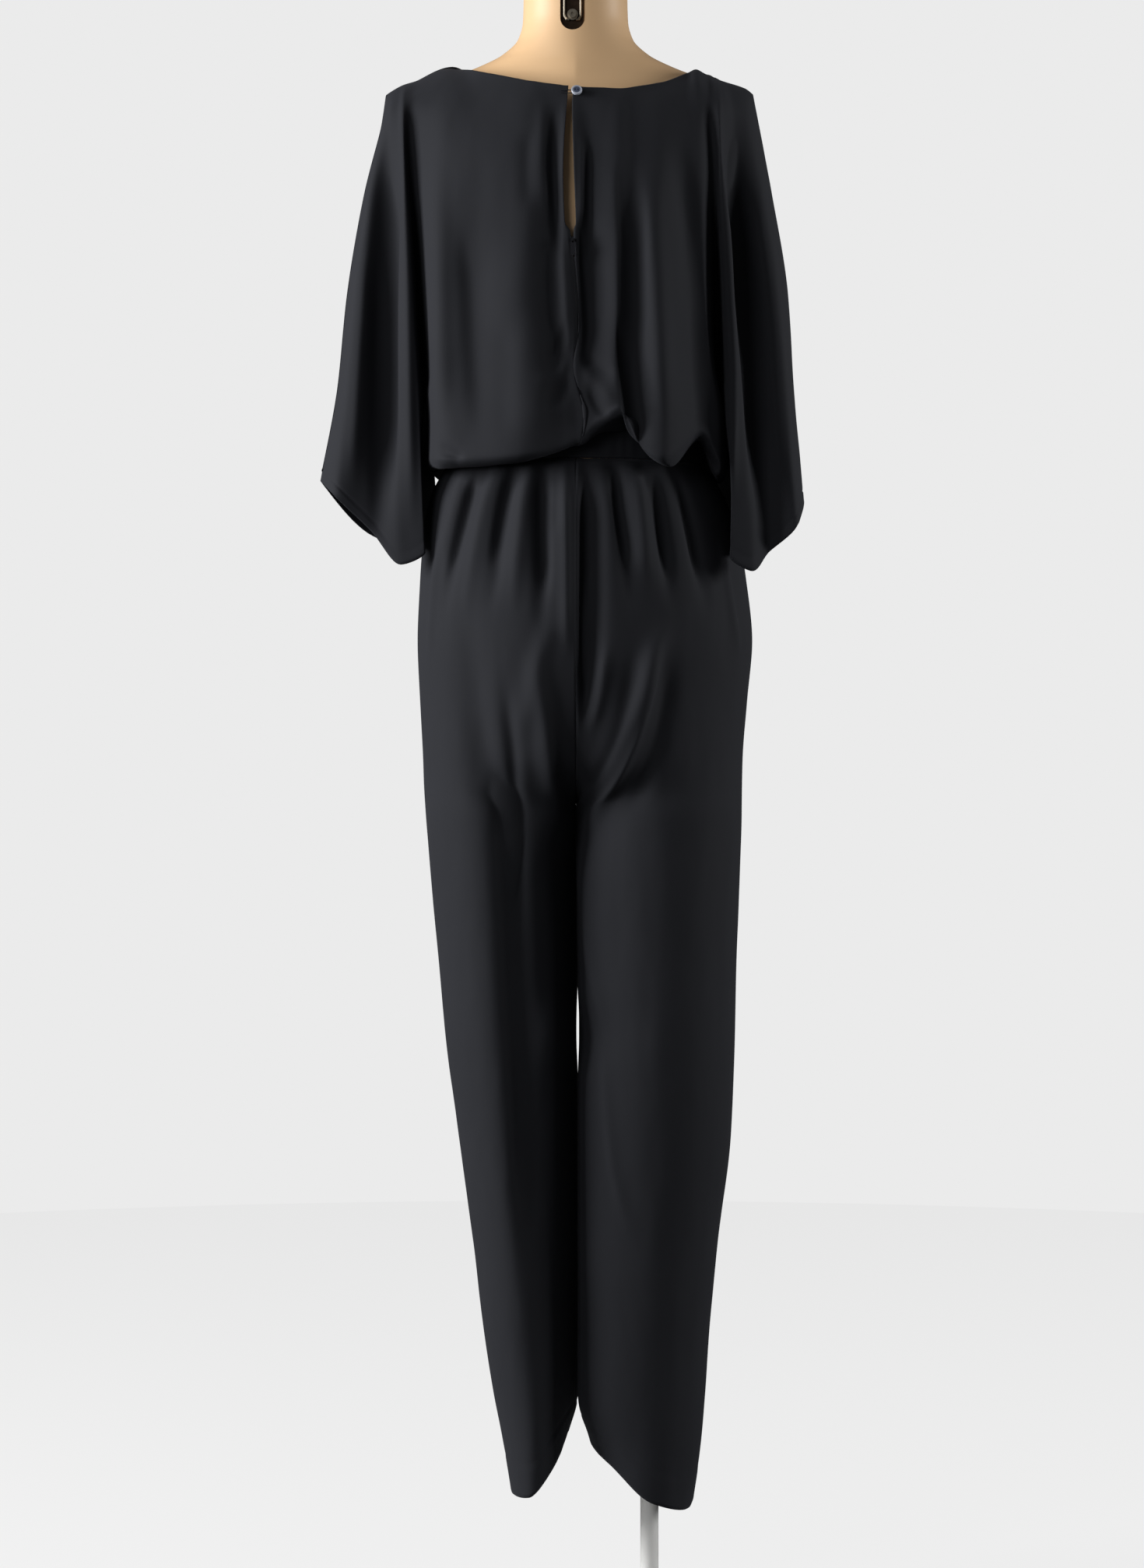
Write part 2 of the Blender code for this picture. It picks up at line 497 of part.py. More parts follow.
def leg_panel(panel, sections, look):
    front = panel.endswith("front")
    left = panel.startswith("left")
    side = SEAM if front else -SEAM
    centre = -SEAM if left else SEAM
    cloth = Cloth(-1)
    rows = []
    for z in LEG_HEIGHTS:
        row = []
        for i in range(LEG_COLUMNS + 1):
            around = i / LEG_COLUMNS
            low = curve([h.around for h in HEMS], [getattr(h, panel) for h in HEMS], around)
            share = (z - HEM) / (CROTCH - HEM)
            height = z if share > 1 else low + share * (CROTCH - low)
            number = cloth.add(leg_point(sections, panel, around, height))
            if i == LEG_COLUMNS or i == 0 and z <= CROTCH:
                cloth.points[number][1] = side
                cloth.flat[number] = (1,)
            if i == 0 and z >= CROTCH:
                cloth.points[number][0] = CENTRE + centre
                cloth.flat[number] = (0,)
            if i == 0 and z == CROTCH:
                cloth.aim[number] = (0, 0, -1)
            row.append(number)
        rows.append(row)
    turn = left != front
    cloth.grid([row[::-1] if turn else row for row in rows])
    cloth.build("trouser_" + panel, look)


def casing(look):
    """The elastic casing: a band round the waist, which the gathers ruffle a little."""
    count = 48
    cloth = Cloth(-1)
    rows = []
    for z in (CASING_TOP, CASING_BOTTOM):
        row = []
        for i in range(count):
            a = 2 * math.pi * i / count
            x, y = CENTRE + WAIST_HALF * math.sin(a), -WAIST_DEPTH * math.cos(a)
            row.append(cloth.add((x, y, z)))
        rows.append([*row, row[0]])
    cloth.grid(rows)
    for number in range(len(cloth.points)):
        cloth.flat[number] = (2,)
    cloth.build("waist_casing", look, CASING_WALL)


# ---- form and stand ----------------------------------------------------------------------------


def linked(name, mesh, look=None, helper=False):
    made = bpy.data.objects.new(name, mesh)
    bpy.context.scene.collection.objects.link(made)
    if look:
        mesh.materials.append(look)
    if helper:
        made.hide_render = True
        made.display_type = "WIRE"
    return made


def from_bmesh(name, bm, look=None, helper=False):
    bmesh.ops.recalc_face_normals(bm, faces=bm.faces)
    mesh = bpy.data.meshes.new(name)
    bm.to_mesh(mesh)
    bm.free()
    return linked(name, mesh, look, helper)


def lofted(name, rings, middle, look=None, helper=False, clamp=None):
    """A closed loft through plan rings, with flat ends."""
    bm = bmesh.new()
    loops = []
    for ring in rings:
        loop = []
        for i in range(SEGMENTS):
            a = 2 * math.pi * i / SEGMENTS
            c, s = math.cos(a), math.sin(a)
            x = ring.half * math.copysign(abs(c) ** (2 / ring.round), c)
            y = (ring.front if s > 0 else ring.back) * math.copysign(abs(s) ** (2 / ring.round), s)
            if clamp:
                x = max(-clamp, min(clamp, x))
            loop.append(bm.verts.new(((middle + x) * MM, y * MM, ring.z * MM)))
        loops.append(loop)
    for low, high in zip(loops, loops[1:]):
        for i in range(SEGMENTS):
            j = (i + 1) % SEGMENTS
            bm.faces.new((low[i], low[j], high[j], high[i]))
    bm.faces.new(loops[0][::-1])
    bm.faces.new(loops[-1])
    bmesh.ops.triangulate(bm, faces=bm.faces)
    return from_bmesh(name, bm, look, helper)


def boolean(target, tool, operation):
    modifier = target.modifiers.new(operation.title(), "BOOLEAN")
    modifier.operation = operation
    modifier.object = tool


def cylinder(name, radius, low, high, at, axis="Z", look=None, helper=False, sides=ROUND, edge=0):
    """A round bar from low to high along an axis, its middle at the other two places of at."""
    bm = bmesh.new()
    bmesh.ops.create_cone(
        bm, cap_ends=True, segments=sides, radius1=radius * MM, radius2=radius * MM, depth=(high - low) * MM
    )
    if edge:
        ends = [e for e in bm.edges if abs(e.verts[0].co.z - e.verts[1].co.z) < 1e-9]
        bmesh.ops.bevel(bm, geom=ends, offset=edge * MM, segments=1, affect="EDGES")
    made = from_bmesh(name, bm, look, helper)
    middle = (low + high) / 2
    spin, place = {
        "X": ((0, math.pi / 2, 0), (middle, *at)),
        "Y": ((math.pi / 2, 0, 0), (at[0], middle, at[1])),
        "Z": ((0, 0, 0), (*at, middle)),
    }[axis]
    made.rotation_euler = spin
    made.location = [v * MM for v in place]
    return made


def box(name, low, high, look=None, helper=False):
    bm = bmesh.new()
    bmesh.ops.create_cube(bm, size=1)
    for v in bm.verts:
        v.co = [(l + (c + 0.5) * (h - l)) * MM for l, h, c in zip(low, high, v.co)]
    return from_bmesh(name, bm, look, helper)


def tube(name, points, radius, look, closed=False, resolution=2):
    """A round wire along points: a curve with a bevel and filled caps."""
    data = bpy.data.curves.new(name, "CURVE")
    data.dimensions = "3D"
    data.bevel_depth = radius * MM
    data.bevel_resolution = resolution
    data.use_fill_caps = True
    spline = data.splines.new("POLY")
    spline.points.add(len(points) - 1)
    for target, point in zip(spline.points, points):
        target.co = (*(v * MM for v in point), 1)
    spline.use_cyclic_u = closed
    made = bpy.data.objects.new(name, data)
    data.materials.append(look)
    bpy.context.scene.collection.objects.link(made)
    return made


def oblong(name, half, inset, outer, inner):
    """Helpers for an oblong with round ends behind the neck, inset from the recess's two ends."""
    low, high = RECESS_LOW + inset, RECESS_HIGH - inset
    return [
        cylinder(name + "_low", half, outer, inner, (FIT_X, low), "Y", helper=True),
        box(name + "_bar", (FIT_X - half, outer, low), (FIT_X + half, inner, high), helper=True),
        cylinder(name + "_high", half, outer, inner, (FIT_X, high), "Y", helper=True),
    ]


def dress_form(look):
    torso = lofted("form_torso", TORSO, FORM_X, look, clamp=ARM_END)
    for side in (-1, 1):
        stump = lofted("stump" + str(side), STUMP, FORM_X + side * STUMP_X, helper=True)
        boolean(torso, stump, "UNION")
    rod_x = FORM_X + STUMP_X
    low, high = STUMP_BOTTOM - CUT_PAST, STUMP_BOTTOM + ROD_SOCKET
    boolean(torso, cylinder("socket", ROD_RADIUS + ROD_FIT, low, high, (rod_x, 0), helper=True), "DIFFERENCE")
    for tool in oblong("recess", RECESS_HALF, RECESS_HALF, RECESS_OPEN, RECESS_FLOOR):
        boolean(torso, tool, "DIFFERENCE")


def neck_fitting(metal, wire):
    """A plate in the recess behind the neck, with a wire loop that a screw and washer clamp."""
    face = RECESS_FLOOR - GAP
    outer = face - PLATE_THICK
    low, bar, high = oblong("plate", RECESS_HALF - PLATE_FIT, RECESS_HALF, outer, face)
    plate = low
    plate.name = "neck_plate"
    plate.hide_render = False
    plate.display_type = "TEXTURED"
    plate.data.materials.append(metal)
    boolean(plate, bar, "UNION")
    boolean(plate, high, "UNION")
    wire_y = outer - GAP - WIRE_RADIUS
    foot = [(WIRE_FOOT, -4.4), (WIRE_FOOT * 1.9, -4.2), (WIRE_HALF, -1)]
    points = [(-x, SCREW_Z + z) for x, z in foot]
    for i in range(9):
        a = math.pi * (1 - i / 8)
        points.append((WIRE_HALF * math.cos(a), WIRE_TOP + WIRE_HALF * (math.sin(a) - 1)))
    points += [(x, SCREW_Z + z) for x, z in foot[::-1]]
    tube("neck_loop", [(FIT_X + x, wire_y, z) for x, z in points], WIRE_RADIUS, wire)
    washer = wire_y - WIRE_RADIUS - GAP
    at = (FIT_X, SCREW_Z)
    screw = cylinder("neck_screw", SCREW_RADIUS, washer - 0.5, outer - GAP, at, "Y", wire, sides=20)
    head = cylinder("head", HEAD_RADIUS, washer - HEAD_HIGH, washer - 0.7, at, "Y", helper=True, sides=20)
    ring = cylinder("washer", WASHER_RADIUS, washer - 0.8, washer, at, "Y", helper=True, sides=20)
    low, high = washer - HEAD_HIGH - CUT_PAST, washer - HEAD_HIGH / 2
    boolean(screw, ring, "UNION")
    boolean(screw, head, "UNION")
    boolean(screw, cylinder("hexagon", KEY_RADIUS, low, high, at, "Y", helper=True, sides=6), "DIFFERENCE")


def stand(look):
    rod_x = FORM_X + STUMP_X
    cylinder("stand_base", BASE_RADIUS, 0, BASE_THICK, (0, 0), look=look, sides=64, edge=BASE_EDGE)
    low = BASE_THICK + GAP
    rod = cylinder("stand_rod", ROD_RADIUS, low, STUMP_BOTTOM + ROD_SOCKET - GAP, (rod_x, 0), look=look)
    flange = cylinder("flange", FLANGE_RADIUS, low, low + FLANGE_THICK, (rod_x, 0), helper=True, edge=1)
    boolean(rod, flange, "UNION")


# ---- button, loop and zip ----------------------------------------------------------------------


def back_y(x, z):
    """y of the back's outer face near the centre, at the keyhole."""
    line = hanging((BACK_LEFT if x < 0 else BACK_RIGHT)[0], False, True)
    down = [through(line, 1 + i / 8) for i in range(33)][::-1]
    return float(np.interp(z, [p[2] for p in down], [p[1] for p in down]))


def button_and_loop(resin, thread):
    """The button and its thread loop, square to the back, which leans in towards the neck here."""
    surface = back_y(BUTTON_X, BUTTON_Z)
    lean = math.atan2(back_y(BUTTON_X, BUTTON_Z + 4) - back_y(BUTTON_X, BUTTON_Z - 4), 8)
    away = SHANK + BUTTON_THICK / 2

    def placed(across, up, out):
        y = surface + up * math.sin(lean) - out * math.cos(lean)
        return (BUTTON_X + across, y, BUTTON_Z + up * math.cos(lean) + out * math.sin(lean))

    half = BUTTON_THICK / 2
    button = cylinder("button", BUTTON_RADIUS, -half, half, (0, 0), look=resin, sides=28, edge=0.4)
    shank = cylinder("shank", SHANK_RADIUS, GAP - away, 0, (0, 0), helper=True, sides=12)
    holes = [
        cylinder("hole" + str(side), HOLE_RADIUS, -0.2, CUT_PAST, (side * HOLE_OFF, 0), helper=True, sides=12)
        for side in (-1, 1)
    ]
    boolean(button, shank, "UNION")
    for hole in holes:
        boolean(button, hole, "DIFFERENCE")
    for helper in (shank, *holes):
        helper.parent = button
    button.rotation_euler = (math.pi / 2 - lean, 0, 0)
    button.location = [v * MM for v in placed(0, 0, away)]
    out, ring = LOOP_RADIUS + LOOP_OUT, SHANK_RADIUS + LOOP_RADIUS + GAP
    points = [(-LOOP_REACH, ring * 0.6, out), (-LOOP_REACH / 2, ring, out)]
    for i in range(11):
        a = math.pi * (0.5 - i / 10)
        points.append((ring * math.cos(a), ring * math.sin(a), out))
    points += [(-LOOP_REACH / 2, -ring, out), (-LOOP_REACH, -ring * 0.6, out)]
    tube("button_loop", [placed(*p) for p in points], LOOP_RADIUS, thread)


def zip_head(metal):
    """The slider of the concealed zip and its pull, which swings on a pin through the slider's lug."""
    surface = back_y(0, PULL_Z)
    pivot_y = surface - PIVOT_OUT
    x = centre_line(PULL_Z)
    inside = surface + WALL + SLIDER_IN
    slider = box(
        "zip_slider",
        (x - SLIDER_HALF, inside, PULL_Z - SLIDER_DOWN),
        (x + SLIDER_HALF, inside + SLIDER_THICK, PULL_Z + SLIDER_UP),
        metal,
    )
    lug = box(
        "lug",
        (x - LUG_HALF, pivot_y - LUG_HIGH, PULL_Z - LUG_HIGH),
        (x + LUG_HALF, inside + SLIDER_THICK / 2, PULL_Z + LUG_HIGH),
        helper=True,
    )
    boolean(slider, lug, "UNION")
    at = (pivot_y, PULL_Z)
    bore = cylinder("bore", PIN_RADIUS + PIN_FIT, x - CUT_PAST, x + CUT_PAST, at, "X", helper=True, sides=16)
    boolean(slider, bore, "DIFFERENCE")
    pull = cylinder("zip_pull", PIN_RADIUS, x - PULL_HALF, x + PULL_HALF, at, "X", metal, sides=16)
    reach = LUG_HALF + PIN_FIT
    foot, neck, top = PULL_Z - PULL_LENGTH, PULL_Z - 3, PULL_Z + 1
    for name, left, right, low, high in (
        ("cheek_left", -PULL_HALF, -reach, neck - 0.4, top),
        ("cheek_right", reach, PULL_HALF, neck - 0.4, top),
        ("tab", -PULL_HALF, PULL_HALF, foot, neck),
    ):
        inner, outer = pivot_y + PULL_THICK / 2, pivot_y - PULL_THICK / 2
        boolean(pull, box(name, (x + left, outer, low), (x + right, inner, high), helper=True), "UNION")


def main():
    for old in list(bpy.data.objects):
        bpy.data.objects.remove(old)
    crepe = material("black_crepe", (0.012, 0.012, 0.014), 0.6)
    tan = material("tan_moulded_plastic", (0.62, 0.44, 0.26), 0.45)
    steel = material("plated_steel", (0.45, 0.42, 0.38), 0.3, 1)
    dark = material("dark_steel", (0.06, 0.05, 0.05), 0.4, 1)
    white = material("white_powder_coat", (0.82, 0.82, 0.82), 0.4)
    resin = material("navy_resin", (0.02, 0.025, 0.05), 0.3)
    bodice(crepe)
    casing(crepe)
    for panel in ("left_back", "left_front", "right_back", "right_front"):
        leg_panel(panel, LEFT_LEG if panel.startswith("left") else RIGHT_LEG, crepe)
    dress_form(tan)
    neck_fitting(dark, steel)
    stand(white)
    button_and_loop(resin, crepe)
    zip_head(dark)


main()
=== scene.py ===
"""The looks of a black crepe jumpsuit on a tan dress form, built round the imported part.

Lengths are in millimetres, and MM turns them to metres. The back of the garment looks along -Y, so
the wearer's left side is at -X. Each cloth piece is a thin shell on its own solid: hang lines,
sections and FOLDS give its drape, as on the solid, and the CREASES add its finer folds.
"""

import math
from collections import namedtuple

import bmesh
import bpy
import numpy as np
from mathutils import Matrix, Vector, kdtree, noise
from mathutils.bvhtree import BVHTree


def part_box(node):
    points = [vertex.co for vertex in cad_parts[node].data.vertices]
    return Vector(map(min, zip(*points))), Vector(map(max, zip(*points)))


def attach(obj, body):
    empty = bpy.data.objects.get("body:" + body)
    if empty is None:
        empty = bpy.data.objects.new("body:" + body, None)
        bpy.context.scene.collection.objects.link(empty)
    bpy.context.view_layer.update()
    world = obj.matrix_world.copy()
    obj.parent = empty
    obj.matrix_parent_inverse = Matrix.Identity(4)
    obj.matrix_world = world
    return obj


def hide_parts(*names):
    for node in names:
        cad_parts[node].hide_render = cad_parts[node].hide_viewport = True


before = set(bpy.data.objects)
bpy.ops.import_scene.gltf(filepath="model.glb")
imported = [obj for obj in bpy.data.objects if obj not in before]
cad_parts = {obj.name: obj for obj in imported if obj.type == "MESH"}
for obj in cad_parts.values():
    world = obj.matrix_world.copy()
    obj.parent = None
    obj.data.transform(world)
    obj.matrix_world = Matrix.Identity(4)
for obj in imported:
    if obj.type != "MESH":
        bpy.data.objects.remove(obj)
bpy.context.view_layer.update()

MM = 0.001
CLOTH = 0.7  # thickness that the crepe is drawn with
SEAM = 0.03  # half the gap between two pieces at a seam, which sewing holds all but closed
SKIN = 1.2  # the cloth's inner face keeps this far from the form
FORM_NEAR = 12.0  # a point further than this from the form is left where it is

# ---- sizes of the garment, as on its solids ------------------------------------------------------

UNDERARM = 1238.0
WAIST_SEAM, WAIST_CLEAR = 1185.5, 1.1
CASING_TOP, CASING_BOTTOM = 1188.0, 1160.3
CROTCH = 815.0
CENTRE, WAIST_HALF, WAIST_DEPTH = 4.0, 128.0, 100.0
SLIT_END, ZIP_FOOT, ZIP_PART, SLIT_ROUND = 1374.0, 1352.0, 1.3, 9.0
SLEEVE_TURN, LEG_TURN = 11.0, 30.0  # depth of the turned hems
HEM_LAYER, HEM_SOFT = 0.35, 1.5  # how much thicker the turned hem is, and how softly that begins
GROOVE_DEEP, GROOVE_WIDE = 0.5, 1.6  # the groove at a hem's stitches
NO_HEM = 1e4  # way to a hem, where a block has none

# One hang line: its place along the top edge, its plan place at the four LEVELS and at a low one,
# and its end: the underside of the bloused roll on the body, or the hem on the sleeve.
Hang = namedtuple("Hang", "name top x1 y1 x2 y2 x3 y3 x4 y4 x5 y5 end")
LEVELS = (1500.0, 1430.0, 1330.0, UNDERARM)
BODY_LOW, SLEEVE_LOW = 1200.0, 1160.0

BACK_LEFT = [
    Hang("centre", -3.5, -5, -92, -8.5, -113, -4, -117, 3, -121, 8, -124, 1170),
    Hang("edge_trough", -16, -15, -91, -17, -107, -14, -114, -12, -120, -10, -126, 1162),
    Hang("blade", -38, -40, -91, -42, -113, -46, -124, -48, -130, -48, -134, 1153),
    Hang("long_trough", -90, -89, -78, -90, -100, -93, -107, -95, -113, -96, -117, 1151),
    Hang("side_ridge", -122, -122, -70, -124, -86, -126, -97, -128, -98, -128, -97, 1152),
    Hang("underarm", -154, -156, -50, -157, -47, -153, -25, -146, 0, -143, 0, 1157),
    Hang("sleeve_seam", -154, -156, -50, -157, -47, -153, -25, -146, 0, -155, 0, 1081),
    Hang("sleeve_ridge", -163, -164, -53, -162, -62, -156, -68, -149, -66, -146, -62, 1072),
    Hang("sleeve_fall", -169, -170, -47, -172, -57, -173, -64, -171, -63, -169, -59, 1061),
    Hang("sleeve_trough", -176, -178, -40, -185, -46, -190, -49, -192, -49, -194, -47, 1094),
    Hang("sleeve_roll", -182, -185, -26, -198, -38, -208, -47, -216, -50, -225, -50, 1126),
    Hang("overarm", -183.4, -187.5, 0, -205, 0, -222, 0, -231.5, 0, -246, 0, 1147),
]
BACK_RIGHT = [
    Hang("centre", 2, 0, -92, 2, -114, 5, -117, 4, -121, 8, -124, 1170),
    Hang("edge_trough", 17, 16, -91, 17, -108, 18, -115, 20, -121, 22, -125, 1182),
    Hang("blade", 44, 42, -91, 42, -113, 42, -124, 44, -130, 46, -131, 1195),
    Hang("low_trough", 64, 60, -86, 60, -107, 60, -114, 60, -117, 61, -119, 1167),
    Hang("side_ridge", 88, 82, -84, 80, -107, 82, -119, 85, -125, 87, -125, 1151),
    Hang("wide_trough", 112, 110, -75, 110, -92, 114, -94, 119, -90, 123, -88, 1180),
    Hang("side_fall", 123, 123, -73, 126, -85, 131, -87, 139, -80, 144, -74, 1148),
    Hang("underarm", 134, 134, -68, 138, -69, 141, -33, 146, 0, 150, 0, 1145),
    Hang("sleeve_seam", 134, 134, -68, 138, -69, 141, -33, 146, 0, 159, 0, 1074),
    Hang("sleeve_ridge", 141, 142, -70, 145, -78, 151, -80, 156, -84, 154, -85, 1066),
    Hang("sleeve_fall", 147, 148, -62, 152, -64, 161, -68, 169, -76, 171, -78, 1053),
    Hang("sleeve_trough", 153, 156, -50, 163, -50, 176, -50, 184, -55, 187, -58, 1072),
    Hang("sleeve_roll", 172, 174, -34, 184, -44, 198, -54, 206, -60, 212, -64, 1096),
    Hang("overarm", 179, 184.5, 0, 197.6, 0, 213.7, 0, 219, 0, 226, 0, 1127),
]
FRONT_LEFT = [
    Hang("centre", 0, 0, 74, 0, 100, 1, 121, 2, 127, 3, 128, 1158),
    Hang("chest", -30, -32, 73, -34, 98, -38, 119, -40, 124, -40, 126, 1154),
    Hang("drape", -70, -70, 69, -72, 93, -74, 110, -76, 113, -76, 115, 1160),
    Hang("side_ridge", -118, -119, 58, -122, 78, -126, 94, -127, 99, -128, 98, 1152),
    Hang("underarm", -154, -156, 46, -157, 46, -153, 25, -146, 0, -143, 0, 1157),
    Hang("sleeve_seam", -154, -156, 46, -157, 46, -153, 25, -146, 0, -155, 0, 1081),
    Hang("sleeve_ridge", -167, -168, 46, -167, 58, -159, 72, -145, 78, -139, 80, 1074),
    Hang("sleeve_trough", -178, -181, 32, -190, 38, -196, 46, -200, 52, -203, 54, 1100),
    Hang("overarm", -183.4, -187.5, 0, -205, 0, -222, 0, -231.5, 0, -246, 0, 1147),
]
FRONT_RIGHT = [
    Hang("centre", 0, 0, 74, 0, 100, 1, 121, 2, 127, 3, 128, 1158),
    Hang("chest", 34, 34, 72, 36, 97, 40, 117, 42, 123, 44, 125, 1162),
    Hang("drape", 76, 74, 69, 76, 92, 80, 111, 82, 115, 84, 116, 1154),
    Hang("side_ridge", 112, 112, 62, 114, 82, 120, 96, 124, 101, 128, 100, 1158),
    Hang("underarm", 138, 140, 56, 142, 60, 143, 33, 146, 0, 150, 0, 1145),
    Hang("sleeve_seam", 138, 140, 56, 142, 60, 143, 33, 146, 0, 159, 0, 1074),
    Hang("sleeve_ridge", 150, 151, 56, 153, 66, 155, 74, 150, 78, 145, 80, 1072),
    Hang("sleeve_trough", 168, 170, 40, 178, 42, 190, 48, 197, 52, 200, 56, 1088),
    Hang("overarm", 179, 184.5, 0, 197.6, 0, 213.7, 0, 219, 0, 226, 0, 1127),
]

# Top edge of the bodice: x and height along the shoulder seams and the neckline.
Edge = namedtuple("Edge", "x z")
NECK_LEFT, NECK_RIGHT = -114.6, 128.4
BACK_EDGE = [
    Edge(-183.4, 1528), Edge(-170, 1536.5), Edge(-149, 1543.4), Edge(-127, 1552),
    Edge(-114.6, 1556.5), Edge(-94, 1542.5), Edge(-58, 1529.7), Edge(0, 1519.7),
    Edge(35, 1518), Edge(64, 1522), Edge(97, 1531.5), Edge(128.4, 1549.6),
    Edge(145, 1543), Edge(171, 1535), Edge(179, 1529),
]
FRONT_EDGE = [
    Edge(-183.4, 1528), Edge(-170, 1536.5), Edge(-149, 1543.4), Edge(-127, 1552),
    Edge(-114.6, 1556.5), Edge(-94, 1547), Edge(-50, 1526), Edge(0, 1517),
    Edge(50, 1524), Edge(100, 1541), Edge(128.4, 1549.6),
    Edge(145, 1543), Edge(171, 1535), Edge(179, 1529),
]
NECK_BACK, NECK_FRONT = -84.0, 64.0
CENTRE_SEAM = ((1165, 6), (1201, 15), (1216, 9), (1246, 1), (1283, 7), (SLIT_END, 0))  # height, x
# The bloused roll: the share of the way in to the waist seam, and the rise above the end.
ROLL = ((-0.05, 9), (0.08, 2), (0.36, 0), (0.62, 5))
HIGH_ROLL = 8.0

Section = namedtuple("Section", "z side inner back front split")
LEFT_LEG = [Section(*row) for row in (
    (1160, -124, 4, 100, 100, 0), (1146, -133, 4, 109, 107, 0),
    (1125, -142, 4, 117, 111, 0), (1090, -147, 4, 122, 113, 0.01),
    (1050, -150, 4, 126, 113, 0.02), (990, -152.5, 4, 128, 112, 0.04),
    (930, -150, 4, 124, 108, 0.06), (870, -147, 4, 117, 104, 0.2),
    (845, -146, 4, 109, 99, 0.45), (815, -144, 4, 96, 91, 1),
    (740, -138, 4.2, 95, 90, 1), (672, -131.6, 4.4, 93.5, 88, 1),
    (600, -125, 4.4, 91, 86, 1), (500, -111.5, 4.4, 86, 82, 1),
    (400, -98, 4.4, 80, 77, 1), (300, -86, 4.2, 75, 73, 1),
    (245, -77, 3, 73, 71, 1), (200, -68, -6, 71, 70, 1),
    (140, -58, -18, 69, 68, 1),
)]
RIGHT_LEG = [Section(*row) for row in (
    (1160, 132, 4, 100, 100, 0), (1146, 142, 4, 109, 107, 0),
    (1125, 153, 4, 117, 111, 0), (1090, 165, 4, 122, 113, 0.01),
    (1050, 172, 4, 126, 113, 0.02), (990, 178, 4, 128, 112, 0.04),
    (930, 173, 4, 124, 108, 0.06), (870, 168.5, 4, 117, 104, 0.2),
    (845, 168, 4, 109, 99, 0.45), (815, 167.6, 4, 96, 91, 1),
    (740, 165, 6.6, 95, 89, 1), (672, 162.5, 6.9, 92.5, 87, 1),
    (600, 161, 6.9, 89.5, 84, 1), (500, 157, 6.9, 82, 79, 1),
    (400, 144.5, 6.9, 74, 74, 1), (300, 135, 6.9, 68, 69, 1),
    (245, 131.5, 8, 66, 67, 1), (200, 127.5, 18, 64, 65, 1),
    (140, 119, 24, 62, 63, 1),
)]
# Each leg leans this share of its depth to the left behind and to the right in front, at a height.
LEAN = (
    (190, 0), (240, 0.3), (330, 0.24), (560, 0.2),
    (606, 0.04), (650, 0.2), (750, 0.22), (CROTCH, 0),
)
LEAN_ROUND = 0.5  # the lean fades out this far round from the inside leg
Hem = namedtuple("Hem", "around left_back left_front right_back right_front")
HEMS = [
    Hem(0, 208, 208, 206, 206), Hem(0.25, 186, 204, 186, 202),
    Hem(0.55, 158, 184, 150, 180), Hem(0.85, 155, 160, 139, 150), Hem(1, 157, 157, 148, 148),
]
Fold = namedtuple("Fold", "panel around top to bottom width depth")
FOLDS = [
    ("left_back", 0.14, 1152, 0.14, 1010, 8, -7), ("left_back", 0.21, 1152, 0.25, 1030, 8, 5),
    ("left_back", 0.28, 1152, 0.35, 1030, 8, -7), ("left_back", 0.37, 1152, 0.47, 1030, 9, 5),
    ("left_back", 0.46, 1152, 0.60, 1030, 9, -7), ("left_back", 0.46, 960, 0.42, 300, 22, -9),
    ("right_back", 0.08, 1130, 0.06, 930, 9, -7), ("right_back", 0.17, 1152, 0.20, 1030, 8, -7),
    ("right_back", 0.25, 1152, 0.27, 1040, 8, 4), ("right_back", 0.33, 1152, 0.36, 1030, 8, -7),
    ("right_back", 0.48, 1152, 0.52, 1030, 9, -6), ("right_back", 0.30, 985, 0.04, 800, 12, 8),
    ("left_front", 0.14, 1150, 0.16, 1040, 11, -6), ("left_front", 0.38, 1152, 0.36, 1020, 11, 6),
    ("left_front", 0.62, 1150, 0.60, 1040, 11, -7), ("left_front", 0.50, 900, 0.50, 260, 22, -9),
    ("right_front", 0.16, 1152, 0.14, 1030, 11, -7), ("right_front", 0.42, 1150, 0.44, 1040, 11, 6),
    ("right_front", 0.66, 1152, 0.68, 1020, 11, -7), ("right_front", 0.48, 860, 0.46, 300, 22, -8),
]
SEAM_EASE = 0.06  # these folds fade out over this share of a panel's width, towards each seam

# ---- finer folds ---------------------------------------------------------------------------------

